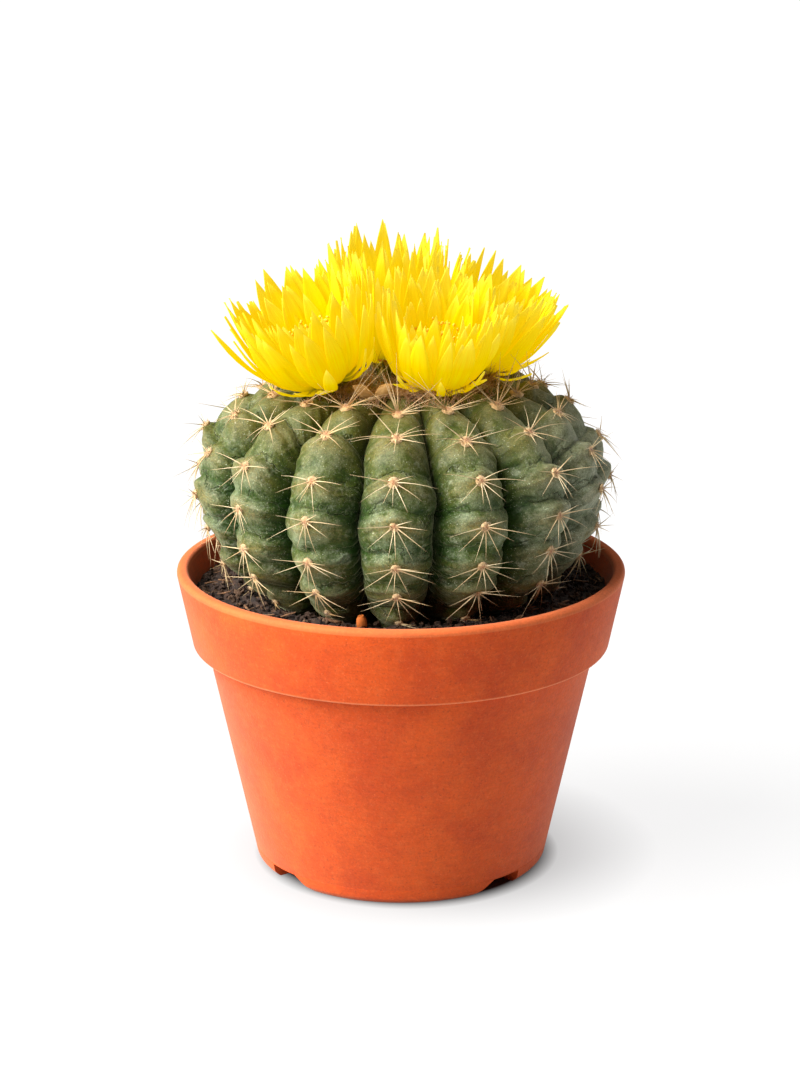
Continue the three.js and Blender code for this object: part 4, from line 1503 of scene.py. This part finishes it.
# Wide soft lights as (name, azimuth, elevation, softness, power, colour).
# The azimuth runs from the camera's side, negative to the left.
LIGHTS = (
    ("key_light", -72, 38, 54, 9.2, (1.0, 0.985, 0.96)),
    ("top_light", -60, 74, 60, 0.7, (1, 1, 1)),
    ("back_light", 122, 32, 40, 0.5, (1, 1, 1)),
)


def make_floor():
    bpy.ops.mesh.primitive_plane_add(size=FLOOR_SIZE)
    floor = named("floor")
    floor.data.materials.append(pale_floor())
    floor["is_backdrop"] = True


def make_camera():
    tilt = math.radians(CAMERA_TILT)
    lens = bpy.data.cameras.new("camera")
    lens.sensor_fit = "VERTICAL"
    lens.sensor_height = SENSOR
    lens.lens = LENS_IN_PIXELS / FRAME_HEIGHT * SENSOR
    lens.shift_x = PIXELS_OFF_MIDDLE / FRAME_HEIGHT
    camera = bpy.data.objects.new("camera", lens)
    camera.location = (0, -CAMERA_DISTANCE * math.cos(tilt), CAMERA_AIM + CAMERA_DISTANCE * math.sin(tilt))
    camera.rotation_euler = (math.pi / 2 - tilt, 0, 0)
    bpy.context.collection.objects.link(camera)
    bpy.context.scene.camera = camera


def make_light(name, azimuth, elevation, softness, power, colour):
    lamp = bpy.data.lights.new(name, "SUN")
    lamp.angle = math.radians(softness)
    lamp.energy = power
    lamp.color = colour
    light = bpy.data.objects.new(name, lamp)
    rise = math.radians(elevation)
    towards = ahead(math.radians(azimuth - 90)) * math.cos(rise) + UP * math.sin(rise)
    light.rotation_euler = towards.to_track_quat("Z", "Y").to_euler()
    bpy.context.collection.objects.link(light)


def make_studio():
    make_floor()
    make_camera()
    for light in LIGHTS:
        make_light(*light)
    world = bpy.data.worlds.new("studio")
    world.use_nodes = True
    world.node_tree.nodes["Background"].inputs["Color"].default_value = (1, 1, 1, 1)
    world.node_tree.nodes["Background"].inputs["Strength"].default_value = ROOM_LIGHT
    bpy.context.scene.world = world
    bpy.context.scene.view_settings.view_transform = "Standard"


def bvh_of(piece):
    faces = [list(polygon.vertices) for polygon in piece.data.polygons]
    return BVHTree.FromPolygons([vertex.co for vertex in piece.data.vertices], faces)


make_studio()
make_pot()
soil_bed = make_soil_bed()
make_crumbs()
make_chips()
make_stem()

# The flat blade that every petal starts from.
bpy.ops.mesh.primitive_grid_add(x_subdivisions=PETAL_ACROSS, y_subdivisions=PETAL_ALONG, size=1)
blade = named("blade")
petal_finish = yellow_petals()
pollen_finish = gold_pollen()
petals = [make_petals(bloom, i, blade, petal_finish) for i, bloom in enumerate(BLOOMS)]
discard(blade)
for i, bloom in enumerate(BLOOMS):
    make_stamens(bloom, i, pollen_finish)
make_tubes(green_tube())

wool_finish = felt_wool()
bud_finish = tan_buds()
sites = areole_sites()
obstacles = [bvh_of(piece) for piece in (*petals, soil_bed)]
make_felt(sites, wool_finish)
make_spines(sites, obstacles, straw_spines())
make_crown_wool(wool_finish)
for bud in BUDS:
    make_bud(bud, bud_finish)

bpy.ops.object.select_all(action="DESELECT")
plain = [[[float(part) for part in corner] for corner in box] for box in (model_box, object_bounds())]
